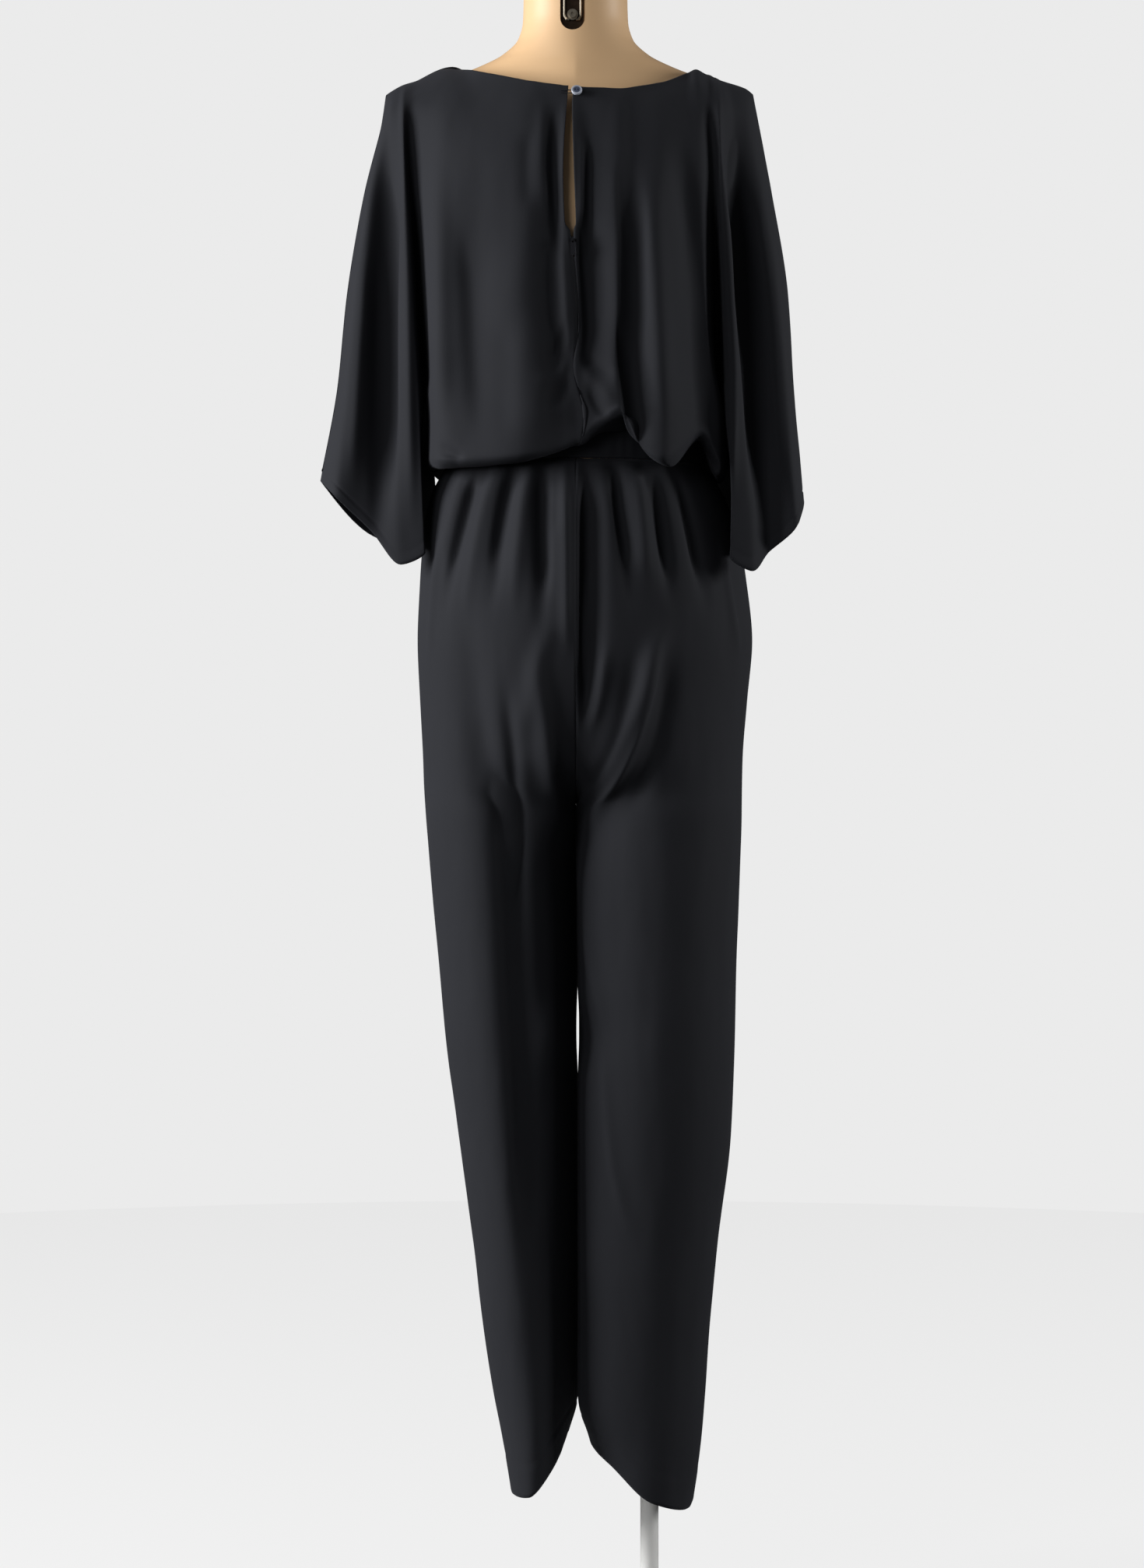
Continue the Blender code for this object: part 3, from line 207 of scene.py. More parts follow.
# One crease: a curve through three places, seen square from behind or in front, its reach to its
# left and right, and its depth, negative for a trough. A crease fades out at both its ends.
Crease = namedtuple("Crease", "x1 z1 x2 z2 x3 z3 left right deep")
CREASES = {
    "bodice_back_left": [
        (-180, 1510, -184, 1292, -187, 1080, 9, 15, -17),
        (-198, 1400, -207, 1260, -216, 1120, 8, 8, 6),
        (-166, 1500, -159, 1323, -155, 1090, 6, 5, 5),
        (-132, 1470, -127, 1299, -121, 1160, 12, 9, 4),
        (-102, 1400, -94, 1268, -86, 1160, 9, 22, -5),
        (-70, 1300, -64, 1235, -66, 1165, 12, 12, -2.5),
        (-40, 1310, -30, 1240, -36, 1160, 14, 10, 3),
        (-42, 1480, -44, 1440, -42, 1390, 6, 6, -2),
        (-28, 1510, -29, 1441, -24, 1380, 6, 5, 3),
        (-17, 1500, -18, 1440, -13, 1350, 3, 3.5, -3),
        (-10, 1375, -5, 1320, -3, 1250, 9, 5, 4),
        (-3, 1290, -14, 1262, -30, 1246, 4, 5, -2.5),
        (0, 1256, -16, 1236, -40, 1228, 4, 5, 2.5),
        (2, 1240, -12, 1216, -34, 1204, 4, 5, -2.5),
        (-131, 1170, -118, 1164, -103, 1156, 4, 4, -6),
    ],
    "bodice_back_right": [
        (9, 1480, 9, 1420, 8, 1366, 3, 4, 2.5),
        (16, 1470, 16, 1410, 18, 1350, 4, 4, -3.5),
        (46, 1450, 47, 1406, 52, 1360, 4, 6, -2),
        (10, 1400, 14, 1300, 18, 1225, 7, 26, -7),
        (64, 1420, 62, 1300, 60, 1215, 18, 7, -4),
        (46, 1300, 56, 1220, 66, 1150, 9, 9, -6),
        (70, 1460, 80, 1305, 87, 1165, 9, 12, 5),
        (98, 1490, 124, 1320, 134, 1200, 14, 12, -6),
        (139, 1480, 150, 1357, 156, 1100, 5, 5, 5),
        (150, 1500, 167, 1340, 184, 1090, 8, 9, -12),
        (176, 1450, 193, 1300, 204, 1110, 6, 8, 5),
        (7, 1262, 22, 1246, 42, 1232, 4, 5, -3),
        (8, 1242, 26, 1226, 42, 1208, 5, 4, 3),
        (14, 1226, 24, 1208, 34, 1192, 3.5, 4, -3),
    ],
    "bodice_front": [
        (-186, 1490, -194, 1300, -203, 1100, 10, 10, -11),
        (-167, 1490, -160, 1320, -152, 1100, 6, 6, 4),
        (-128, 1460, -126, 1300, -120, 1165, 11, 12, 5),
        (-100, 1430, -94, 1290, -98, 1165, 12, 10, -6),
        (-60, 1470, -56, 1300, -52, 1165, 10, 12, 4),
        (-36, 1440, -24, 1280, -20, 1170, 11, 11, -5),
        (-70, 1515, -20, 1480, 44, 1500, 12, 14, 4),
        (-48, 1490, 6, 1452, 62, 1484, 10, 12, -3),
        (14, 1430, 10, 1300, 12, 1170, 9, 9, 4),
        (44, 1450, 40, 1290, 48, 1170, 11, 11, -6),
        (92, 1460, 90, 1300, 96, 1160, 12, 11, -5),
        (118, 1470, 122, 1300, 126, 1165, 9, 9, 5),
        (152, 1490, 155, 1330, 152, 1090, 6, 6, 4),
        (170, 1490, 182, 1310, 198, 1095, 9, 10, -11),
    ],
    "trouser_left_back": [
        (-90, 1160, -104, 1105, -122, 1035, 3, 5, -6),
        (-101, 1158, -116, 1110, -130, 1055, 4, 5, 3),
        (-55, 1160, -67, 1108, -76, 1050, 3, 5, -6),
        (-29, 1160, -29, 1100, -26, 1020, 4, 5, -6),
        (-14, 1158, -14, 1120, -16, 1080, 4, 4, -2),
        (-7, 1168, -4, 1080, -2, 960, 7, 3, 6),
        (-129, 1085, -136, 1020, -139, 966, 2.5, 3.5, 2.5),
        (-16, 1010, -36, 950, -50, 880, 10, 9, 3),
        (-72, 960, -58, 700, -40, 330, 9, 30, -6),
        (-24, 860, -18, 620, -16, 330, 8, 6, 3),
        (-34, 985, -23, 890, -13, 780, 11, 8, 8),
        (-66, 965, -56, 850, -50, 690, 7, 7, -5),
    ],
    "trouser_right_back": [
        (13, 1172, 13, 1040, 9, 880, 6, 9, -15),
        (41, 1160, 44, 1112, 55, 1050, 3, 5, -6),
        (62, 1157, 66, 1110, 70, 1040, 5, 6, 3),
        (78, 1160, 82, 1105, 92, 1035, 3, 5, -6),
        (101, 1156, 112, 1095, 124, 1035, 3, 5, -5),
        (144, 1090, 155, 1020, 164, 966, 3.5, 2.5, 2.5),
        (84, 1000, 62, 895, 4, 785, 9, 6, 8),
        (64, 975, 44, 895, 6, 822, 6, 7, -6),
        (98, 985, 82, 890, 50, 810, 8, 9, -5),
        (34, 985, 26, 930, 14, 890, 5, 4, 4),
        (6, 800, 14, 690, 38, 590, 3, 6, 2.5),
        (26, 620, 38, 480, 58, 400, 3, 6, 2),
    ],
    "trouser_left_front": [
        (-96, 1156, -106, 1110, -112, 1040, 5, 6, -6),
        (-66, 1157, -70, 1100, -74, 1020, 5, 6, 4),
        (-40, 1158, -42, 1110, -48, 1030, 5, 6, -6),
        (-18, 1158, -16, 1110, -12, 1020, 5, 5, -5),
        (-6, 1140, -30, 1000, -70, 880, 10, 12, 4),
        (-70, 900, -58, 640, -42, 280, 16, 18, -8),
        (-30, 820, -26, 600, -22, 330, 10, 10, 4),
    ],
    "trouser_right_front": [
        (24, 1158, 22, 1110, 18, 1020, 5, 5, -5),
        (48, 1158, 52, 1110, 58, 1030, 5, 6, -6),
        (78, 1157, 82, 1100, 88, 1020, 5, 6, 4),
        (106, 1154, 116, 1100, 124, 1040, 5, 6, -6),
        (12, 1120, 40, 990, 88, 890, 12, 10, 4),
        (100, 900, 98, 640, 92, 300, 18, 16, -8),
        (50, 800, 48, 580, 54, 330, 12, 12, 4),
    ],
}

# ---- smooth curves -------------------------------------------------------------------------------


def slopes(at, values):
    """Slopes of a cubic that turns only at its knots, so that a fold never overshoots its depth."""
    step = np.diff(at).reshape((-1,) + (1,) * (values.ndim - 1))
    rise = np.diff(values, axis=0) / step
    a, b = rise[:-1], rise[1:]
    along = a * b > 0
    before, after = 2 * step[1:] + step[:-1], step[1:] + 2 * step[:-1]
    mean = (before + after) / (before / np.where(along, a, 1) + after / np.where(along, b, 1))
    out = np.zeros_like(values)
    out[1:-1] = np.where(along, mean, 0)
    out[0], out[-1] = rise[0], rise[-1]
    return out


def smooth(at, values, where):
    """Reads the smooth curve through values, at the rising places at, at each of where."""
    at, values, where = (np.asarray(a, float) for a in (at, values, where))
    slope = slopes(at, values)
    i = np.clip(np.searchsorted(at, where) - 1, 0, len(at) - 2)
    flat = (-1,) + (1,) * (values.ndim - 1)
    step = (at[i + 1] - at[i]).reshape(flat)
    t = ((where - at[i]) / step.ravel()).reshape(flat)
    inside = (
        (2 * t**3 - 3 * t**2 + 1) * values[i]
        + (t**3 - 2 * t**2 + t) * step * slope[i]
        + (3 * t**2 - 2 * t**3) * values[i + 1]
        + (t**3 - t**2) * step * slope[i + 1]
    )
    past = values[-1] + slope[-1] * (where - at[-1]).reshape(flat)
    return np.where(t > 1, past, inside)


def ease(value):
    """0 up to 0, 1 from 1 on, with a soft start and end between."""
    t = np.clip(value, 0, 1)
    return t * t * (3 - 2 * t)


# ---- cloth panels --------------------------------------------------------------------------------


def deselect():
    bpy.ops.object.select_all(action="DESELECT")


def choose(thing):
    deselect()
    thing.select_set(True)
    bpy.context.view_layer.objects.active = thing


def linked(name, data, finish=None):
    made = bpy.data.objects.new(name, data)
    bpy.context.scene.collection.objects.link(made)
    if finish:
        made.data.materials.append(finish)
    return made


class Panel:
    """Points of one cloth piece in millimetres, and its patches: grids of point numbers."""

    def __init__(self, facing):
        self.facing = facing  # 1 where the outer face looks along +Y, -1 where it looks along -Y
        self.points = np.zeros((0, 3))
        self.to_hem = np.zeros(0)  # way along the cloth to a turned edge, or a large number
        self.patches, self.seam, self.quads = [], [], None

    def add(self, block, hem_way=None):
        rows, columns = block.shape[:2]
        numbers = len(self.points) + np.arange(rows * columns).reshape(rows, columns)
        self.points = np.vstack([self.points, block.reshape(-1, 3)])
        way = np.full((rows, columns), NO_HEM) if hem_way is None else hem_way
        self.to_hem = np.concatenate([self.to_hem, way.ravel()])
        return numbers

    def close(self):
        """Settles the facets, and turns them all over where most of them face inwards.

        The front bodice's halves are wound opposite ways, so its left one still faces inwards.
        """
        corners = [(n[:-1, :-1], n[:-1, 1:], n[1:, 1:], n[1:, :-1]) for n in self.patches]
        self.quads = np.vstack([np.stack(c, -1).reshape(-1, 4) for c in corners])
        if self.normals()[:, 1].sum() * self.facing < 0:
            self.quads = self.quads[:, ::-1]

    def normals(self):
        p = self.points[self.quads]
        flat = np.cross(p[:, 2] - p[:, 0], p[:, 3] - p[:, 1])
        out = np.zeros_like(self.points)
        for corner in range(4):
            for k in range(3):
                out[:, k] += np.bincount(self.quads[:, corner], flat[:, k], len(out))
        return out / np.maximum(np.linalg.norm(out, axis=1, keepdims=True), 1e-9)

    def edge_points(self):
        """Numbers of the points on the panel's outline."""
        ends = np.sort(np.vstack([self.quads[:, [k, (k + 1) % 4]] for k in range(4)]), axis=1)
        found, count = np.unique(ends, axis=0, return_counts=True)
        return np.unique(found[count == 1])

    def relax(self, rounds):
        """Evens the points out with their neighbours, leaving the outline alone."""
        ends = np.vstack([self.quads[:, [k, (k + 1) % 4]] for k in range(4)])
        a, b = np.concatenate([ends[:, 0], ends[:, 1]]), np.concatenate([ends[:, 1], ends[:, 0]])
        count = np.bincount(a, minlength=len(self.points))[:, None]
        held = self.edge_points()
        for _ in range(rounds):
            old = self.points
            near = np.stack([np.bincount(a, old[b, k], len(old)) for k in range(3)], 1)
            self.points = old * 0.5 + near / count * 0.5
            self.points[held] = old[held]

    def seam_window(self, reach):
        """0 on the seams, rising to 1 at reach from them."""
        numbers = np.unique(np.concatenate(self.seam))
        tree = kdtree.KDTree(len(numbers))
        for i, number in enumerate(numbers):
            tree.insert(self.points[number], i)
        tree.balance()
        away = np.array([tree.find(p)[2] for p in self.points])
        return ease(away / reach)


CREASE_POINTS = 13  # that a crease's curve is read at
CREASE_FADE = 0.3  # share of its length over which a crease fades out at each end


def crease_push(crease, points):
    """How far one crease moves each point along its normal."""
    share = np.linspace(0, 1, CREASE_POINTS)
    c = crease
    knots = np.array([[c.x1, c.z1], [c.x2, c.z2], [c.x3, c.z3]], float)
    length = np.linalg.norm(np.diff(knots, axis=0), axis=1)
    middle = length[0] / length.sum()
    line = smooth([0, middle, 1], knots, share)
    place = points[:, [0, 2]]
    best = np.full(len(place), 1e9)
    off = np.zeros(len(place))
    along = np.zeros(len(place))
    for i in range(len(line) - 1):
        start, step = line[i], line[i + 1] - line[i]
        way = place - start
        t = np.clip(way @ step / (step @ step), 0, 1)
        gap = way - t[:, None] * step
        far = np.hypot(gap[:, 0], gap[:, 1])
        side = np.sign(step[0] * gap[:, 1] - step[1] * gap[:, 0])
        nearer = far < best
        best = np.where(nearer, far, best)
        off = np.where(nearer, far * side, off)
        along = np.where(nearer, (i + t) / (len(line) - 1), along)
    reach = np.where(off > 0, crease.right, crease.left)
    window = ease(along / CREASE_FADE) * ease((1 - along) / CREASE_FADE)
    return crease.deep * window * np.exp(-((off / reach) ** 2))


SLUB_SCALE = Vector((0.045, 0.045, 0.012))  # of the faint unevenness that hanging crepe has, per mm
SLUB_DEEP = 0.5
DRAPE_ROUNDS, FOLD_ROUNDS = 3, 2  # of evening out, before and after the finer folds
SEAM_FLAT = 9.0  # way from a seam over which the finer folds rise


def slub(points):
    out = []
    for p in points:
        wide, fine = Vector(p) * SLUB_SCALE, Vector(p) * SLUB_SCALE * 2.3
        out.append(noise.noise(wide) + 0.5 * noise.noise(fine))
    return np.array(out)


def folded(panel, name):
    """Adds the panel's finer folds."""
    normals = panel.normals()
    window = panel.seam_window(SEAM_FLAT)
    push = np.zeros(len(panel.points))
    for row in CREASES[name]:
        push += crease_push(Crease(*row), panel.points)
    push += SLUB_DEEP * slub(panel.points)
    panel.points = panel.points + normals * (push * window)[:, None]
    panel.relax(FOLD_ROUNDS)


def off_the_form(panel, form_tree):
    """Moves out each point whose inner face would come nearer to the form than SKIN."""
    least = SKIN + CLOTH
    for i, point in enumerate(panel.points):
        spot, normal, _, _ = form_tree.find_nearest(Vector(point) * MM, FORM_NEAR * MM)
        if spot is None:
            continue
        gap = (Vector(point) * MM - spot).dot(normal) / MM
        if gap < least:
            panel.points[i] += np.array(normal) * (least - gap)


def turned_edge(panel, turn):
    """Makes the turned hem stand a layer thicker, with a faint groove where it is stitched."""
    normals = panel.normals()
    inside = turn - panel.to_hem
    push = HEM_LAYER * ease(inside / HEM_SOFT)
    push -= GROOVE_DEEP * np.exp(-((inside / GROOVE_WIDE) ** 2))
    panel.points = panel.points + normals * push[:, None]


def cloth_object(panel, name, finish, thick=CLOTH):
    mesh = bpy.data.meshes.new(name)
    mesh.from_pydata((panel.points * MM).tolist(), [], panel.quads.tolist())
    made = linked(name, mesh, finish)
    choose(made)
    bm = bmesh.new()
    bm.from_mesh(mesh)
    bmesh.ops.remove_doubles(bm, verts=bm.verts, dist=1e-6)
    bm.to_mesh(mesh)
    bm.free()
    wall = made.modifiers.new("wall", "SOLIDIFY")
    wall.thickness = thick * MM
    wall.offset = -1
    bpy.ops.object.modifier_apply(modifier="wall")
    bpy.ops.object.shade_smooth()
    return made


# ---- bodice --------------------------------------------------------------------------------------

COLUMNS = 12  # from one hang line to the next
TOP_STEPS, BODY_STEPS, SLEEVE_STEPS = 92, 48, 58


def centre_line(z):
    """x of the centre back seam under the keyhole, which wanders with the slack of the zip."""
    heights, places = zip(*CENTRE_SEAM)
    return smooth(heights, places, z)


def top_point(x, front):
    edge = FRONT_EDGE if front else BACK_EDGE
    neck = NECK_LEFT if x < 0 else NECK_RIGHT
    y = (NECK_FRONT if front else NECK_BACK) * math.sqrt(max(0, 1 - (x / neck) ** 2))
    return np.array([x, y, smooth([e.x for e in edge], [e.z for e in edge], [x])[0]])


def hanging(line, front, body, seam=None):
    """Knots of a hang line, from a ghost above its top to the waist or the hem."""
    top = top_point(line.top, front)
    plan = [(line.x1, line.y1), (line.x2, line.y2), (line.x3, line.y3), (line.x4, line.y4)]
    knots = [top] + [np.array([x, y, z]) for (x, y), z in zip(plan, LEVELS)]
    if body:
        low = np.array([line.x5, line.y5, max(BODY_LOW, line.end + 15)])
        knots.append(low)
        for row, (share, rise) in enumerate(ROLL):
            height = line.end + rise
            if row == len(ROLL) - 1 and line.end > WAIST_SEAM - HIGH_ROLL:
                height = (line.end + WAIST_SEAM) / 2
            spot = low + (seam - low) * share
            knots.append(np.array([spot[0], spot[1], height]))
        knots.append(seam)
    else:
        low = max(SLEEVE_LOW, line.end + 8)
        below = np.array([line.x5, line.y5, low])
        out = (below - knots[-1]) / (knots[-1][2] - low) * (low - line.end)
        knots += [below, below + out]
    over = min(1, abs(top[1]) / 50)
    ghost = (1 - over) * (knots[1] * (1, -1, 1)) + over * (2 * top - knots[1])
    return np.array([ghost] + knots)


def waist_point(turn, front):
    """A point of the waist seam: turn runs from 0 at the centre to 1 (left) or -1 (right)."""
    a = turn * math.pi / 2
    y = (WAIST_DEPTH + WAIST_CLEAR) * math.cos(a) * (1 if front else -1)
    return np.array([CENTRE - (WAIST_HALF + WAIST_CLEAR) * math.sin(a), y, WAIST_SEAM])


def down_lines(lines, places):
    """Each hang line read at the same places down it: lines, then places, then x y z."""
    return np.array([smooth(np.arange(len(k)), k, places + 1) for k in lines])


def across(stack, count):
    """Rows of points across a stack of lines that has a ghost line at each end."""
    where = 1 + np.arange(count * COLUMNS + 1) / COLUMNS
    return smooth(np.arange(len(stack)), stack, where).transpose(1, 0, 2)


def mirrored(line):
    return line * (1, -1, 1)


def way_down(block):
    """Way along the cloth from each point of a block down to its last row."""
    steps = np.linalg.norm(np.diff(block, axis=0), axis=2)
    return np.vstack([np.cumsum(steps[::-1], axis=0)[::-1], np.zeros((1, block.shape[1]))])


def half_bodice(panel, lines, front, sign):
    under = next(i for i, line in enumerate(lines) if line.name == "underarm")
    body = [
        hanging(line, front, True, waist_point(-sign * i / under, front))
        for i, line in enumerate(lines[: under + 1])
    ]
    sleeve = [hanging(line, front, False) for line in lines[under + 1 :]]
    side = SEAM if front else -SEAM

    places = np.linspace(0, 4, TOP_STEPS)
    stack = down_lines(body[:-1], places)
    stack = np.concatenate([stack, down_lines(sleeve, places)])
    ghost = stack[0].copy()
    ghost[:, 0] = 2 * stack[0][:, 0] - stack[1][:, 0]
    upper = across(np.concatenate([[ghost], stack, [mirrored(stack[-2])]]), len(lines) - 2)

    places = 4 + 6 * (np.arange(1, BODY_STEPS + 1) / BODY_STEPS)
    stack = down_lines(body, places)
    ghost = stack[0].copy()
    ghost[:, 0] = 2 * stack[0][:, 0] - stack[1][:, 0]
    lower = across(np.concatenate([[ghost], stack, [mirrored(stack[-2])]]), under)

    places = 4 + 2 * (np.arange(1, SLEEVE_STEPS + 1) / SLEEVE_STEPS)
    stack = down_lines(sleeve, places)
    lines_of_arm = np.concatenate([[mirrored(stack[1])], stack, [mirrored(stack[-2])]])
    arm = across(lines_of_arm, len(sleeve) - 1)

    neck = abs(NECK_LEFT if sign < 0 else NECK_RIGHT)
    for block in (upper, lower, arm):
        near = np.abs(block[..., 1]) < abs(side)
        block[..., 1][near] = side
        block[:, -1, 1] = side
    arm[:, 0, 1] = side
    upper[0, np.abs(upper[0, :, 0]) >= neck - 0.01, 1] = side
    split = under * COLUMNS
    upper[-1, split, 1] = side
    if not front:
        for block in (upper, lower):
            z = block[:, 0, 2]
            apart = np.where(z > ZIP_FOOT, ZIP_PART, SEAM)
            closed = 1 - ease((z - SLIT_END) / SLIT_ROUND)
            joined = centre_line(np.minimum(z, SLIT_END)) + sign * apart
            block[:, 0, 0] += closed * (joined - block[:, 0, 0])

    rows = panel.add(upper)
    way = way_down(np.concatenate([upper[-1:, split:], arm]))[1:]
    low = panel.add(lower)
    hang = panel.add(arm, way)
    panel.patches.append(rows)
    panel.patches.append(np.vstack([rows[-1:, : split + 1], low]))
    panel.patches.append(np.vstack([rows[-1:, split:], hang]))
    shoulder = rows[0, np.abs(upper[0, :, 0]) >= neck - 0.01]
    panel.seam += [rows[:, -1], low[:, -1], hang[:, 0], hang[:, -1], shoulder]
    if not front:
        closed = np.concatenate([rows[upper[:, 0, 2] < SLIT_END, 0], low[:, 0]])
        panel.seam.append(closed)


def bodice(crepe, form_tree):
    made = []
    for name, halves, front in (
        ("bodice_back_left", ((BACK_LEFT, -1),), False),
        ("bodice_back_right", ((BACK_RIGHT, 1),), False),
        ("bodice_front", ((FRONT_LEFT, -1), (FRONT_RIGHT, 1)), True),
    ):
        panel = Panel(1 if front else -1)
        for lines, sign in halves:
            half_bodice(panel, lines, front, sign)
        panel.close()
        panel.relax(DRAPE_ROUNDS)
        folded(panel, name)
        off_the_form(panel, form_tree)
        turned_edge(panel, SLEEVE_TURN)
        made.append(cloth_object(panel, name + "_cloth", crepe))
    return made


# ---- trousers ------------------------------------------------------------------------------------

LEG_COLUMNS, LEG_ROWS = 84, 250


def fold_push(name, around, z, length):
    """How far the FOLDS push the cloth out."""
    push = np.zeros(around.shape)
    for f in (Fold(*row) for row in FOLDS):
        if f.panel != name:
            continue
        down = (f.top - z) / (f.top - f.bottom)
        window = np.clip((down + 0.1) / 0.2, 0, 1) * np.clip((1.15 - down) / 0.45, 0, 1)
        off = (around - (f.around + (f.to - f.around) * down)) * length
        push += f.depth * window * np.exp(-((off / f.width) ** 2))
    return push


def leg_block(name, sections):
    """Outer face of a trouser panel: rows from the waist down, each from centre to side seam."""
    front, left = name.endswith("front"), name.startswith("left")
    around = np.linspace(0, 1, LEG_COLUMNS + 1)
    low = smooth([h.around for h in HEMS], [getattr(h, name) for h in HEMS], around)
    upper = np.linspace(sections[0].z, CROTCH, LEG_ROWS // 3 + 1)[:, None] + 0 * around
    down = np.linspace(0, 1, LEG_ROWS - LEG_ROWS // 3 + 1)[1:, None]
    z = np.vstack([upper, CROTCH + (low - CROTCH) * down])
    heights = [s.z for s in sections][::-1]
    table = np.array([s[1:] for s in sections[::-1]], float)
    side, inner, back, fore, split = smooth(heights, table, z.ravel()).T.reshape(5, *z.shape)
    depth = fore if front else -back
    split = np.where(z < CROTCH, 1, np.clip(split, 0, 1))
    quarter, loop = around * math.pi / 2, around * math.pi
    hip = np.stack([inner + (side - inner) * np.sin(quarter), depth * np.cos(quarter)], -1)
    middle, half = (side + inner) / 2, (side - inner) / 2
    leg = np.stack([middle - half * np.cos(loop), depth * np.sin(loop)], -1)
    lean = np.where(z < CROTCH, smooth(*zip(*LEAN), z.ravel()).reshape(z.shape), 0)
    leg[..., 0] += lean * leg[..., 1] * np.clip(1 - around / LEAN_ROUND, 0, 1)
    plan = hip * (1 - split[..., None]) + leg * split[..., None]
    out = plan - np.stack([np.where(split > 0.5, middle, inner), 0 * middle], -1)
    out /= np.maximum(np.linalg.norm(out, axis=-1, keepdims=True), 1e-9)
    length = np.abs(side - inner) + np.abs(depth)
    edge = np.clip(np.minimum(around, 1 - around) / SEAM_EASE, 0, 1)
    plan += out * (fold_push(name, around + 0 * z, z, length) * edge)[..., None]
    block = np.dstack([plan, z])
    seam_y = SEAM if front else -SEAM
    block[:, -1, 1] = seam_y
    block[z[:, 0] <= CROTCH, 0, 1] = seam_y
    block[z[:, 0] >= CROTCH, 0, 0] = CENTRE + (-SEAM if left else SEAM)
    return block


def trousers(crepe, form_tree):
    made = []
    for name in ("left_back", "left_front", "right_back", "right_front"):
        sections = LEFT_LEG if name.startswith("left") else RIGHT_LEG
        panel = Panel(1 if name.endswith("front") else -1)
        block = leg_block(name, sections)
        rows = panel.add(block, way_down(block))
        panel.patches.append(rows)
        panel.seam += [rows[:, 0], rows[:, -1]]
        panel.close()
        panel.relax(DRAPE_ROUNDS)
        folded(panel, "trouser_" + name)
        off_the_form(panel, form_tree)
        turned_edge(panel, LEG_TURN)
        made.append(cloth_object(panel, "trouser_" + name + "_cloth", crepe))
    return made


# ---- waist casing --------------------------------------------------------------------------------

CASING_COLUMNS, CASING_ROWS = 360, 13
CASING_MIDDLE = 1170.0
CASING_SWELL, CASING_WALL = 0.9, 2.0
RUFFLES, RUFFLE_DEEP = 58, 0.35


def waist_casing(crepe):
    """The elastic casing: a band that its gathers ruffle, bulging a little between its seams."""
    turn = np.linspace(0, 2 * math.pi, CASING_COLUMNS, endpoint=False)
    down = np.linspace(0, 1, CASING_ROWS)[:, None]
    swell = CASING_SWELL * np.sin(math.pi * down)
    ruffle = np.array([noise.noise(Vector((math.cos(a) * 6, math.sin(a) * 6, 3))) for a in turn])
    ruffle = RUFFLE_DEEP * np.sin(turn * RUFFLES + 5 * ruffle) * np.sin(math.pi * down) ** 0.5
    out = swell + ruffle - CASING_SWELL
    x = CENTRE + (WAIST_HALF + out) * np.sin(turn)
    y = -(WAIST_DEPTH + out) * np.cos(turn)
    z = CASING_TOP + (CASING_BOTTOM - CASING_TOP) * down + 0 * turn
    panel = Panel(1)
    numbers = panel.add(np.stack([x, y, z], -1))
    panel.patches.append(np.hstack([numbers, numbers[:, :1]]))
    panel.close()
    if (panel.normals() * (panel.points - (CENTRE, 0, CASING_MIDDLE))).sum() < 0:
        panel.quads = panel.quads[:, ::-1]
    return cloth_object(panel, "waist_casing_cloth", crepe, CASING_WALL)


# ---- dress form ----------------------------------------------------------------------------------

Ring = namedtuple("Ring", "z half back front round")
FORM_X, ARM_END = 3.5, 172.0
TORSO = [
    Ring(852, 40, 34, 30, 2), Ring(870, 84, 66, 58, 2), Ring(900, 122, 92, 80, 2),
    Ring(940, 143, 106, 94, 2.1), Ring(1000, 147, 112, 100, 2.1), Ring(1050, 143, 108, 100, 2.1),
    Ring(1100, 136, 101, 98, 2), Ring(1140, 126, 97.5, 97, 2),
    Ring(1160, 123.9, 96.1, 96.1, 2), Ring(1186, 123.9, 96.1, 96.1, 2),
    Ring(1240, 129, 98, 101, 2), Ring(1300, 137, 102, 109, 2), Ring(1350, 146, 104, 108, 2),
    Ring(1400, 160, 103, 98, 2), Ring(1440, 174, 98, 88, 2), Ring(1480, 182, 88, 76, 2),
    Ring(1505, 182, 76, 64, 1.8), Ring(1522, 180, 64, 52, 1.55), Ring(1533, 165, 59, 49, 1.4),
    Ring(1541, 142, 57, 48, 1.35), Ring(1548, 117, 55, 49, 1.45), Ring(1556, 95, 53, 49, 1.6),
    Ring(1566, 74, 52, 49, 1.8), Ring(1582, 57, 51, 49, 2), Ring(1600, 52, 50, 49, 2),
    Ring(1662, 50, 49, 49, 2), Ring(1665, 47, 46, 46, 2),
]
STUMP_X = 73.0
STUMP = [
    Ring(672, 54, 70, 68, 2), Ring(740, 57, 76, 73, 2), Ring(800, 61, 83, 76, 2),
    Ring(850, 64, 85, 77, 2), Ring(905, 64, 82, 74, 2),
]
FORM_ROUND, TORSO_STEPS, STUMP_STEPS = 128, 190, 30
SOCKET_RADIUS, SOCKET_FOOT, SOCKET_GAP = 9.3, 660.0, 0.3  # of the rod's socket in the right stump


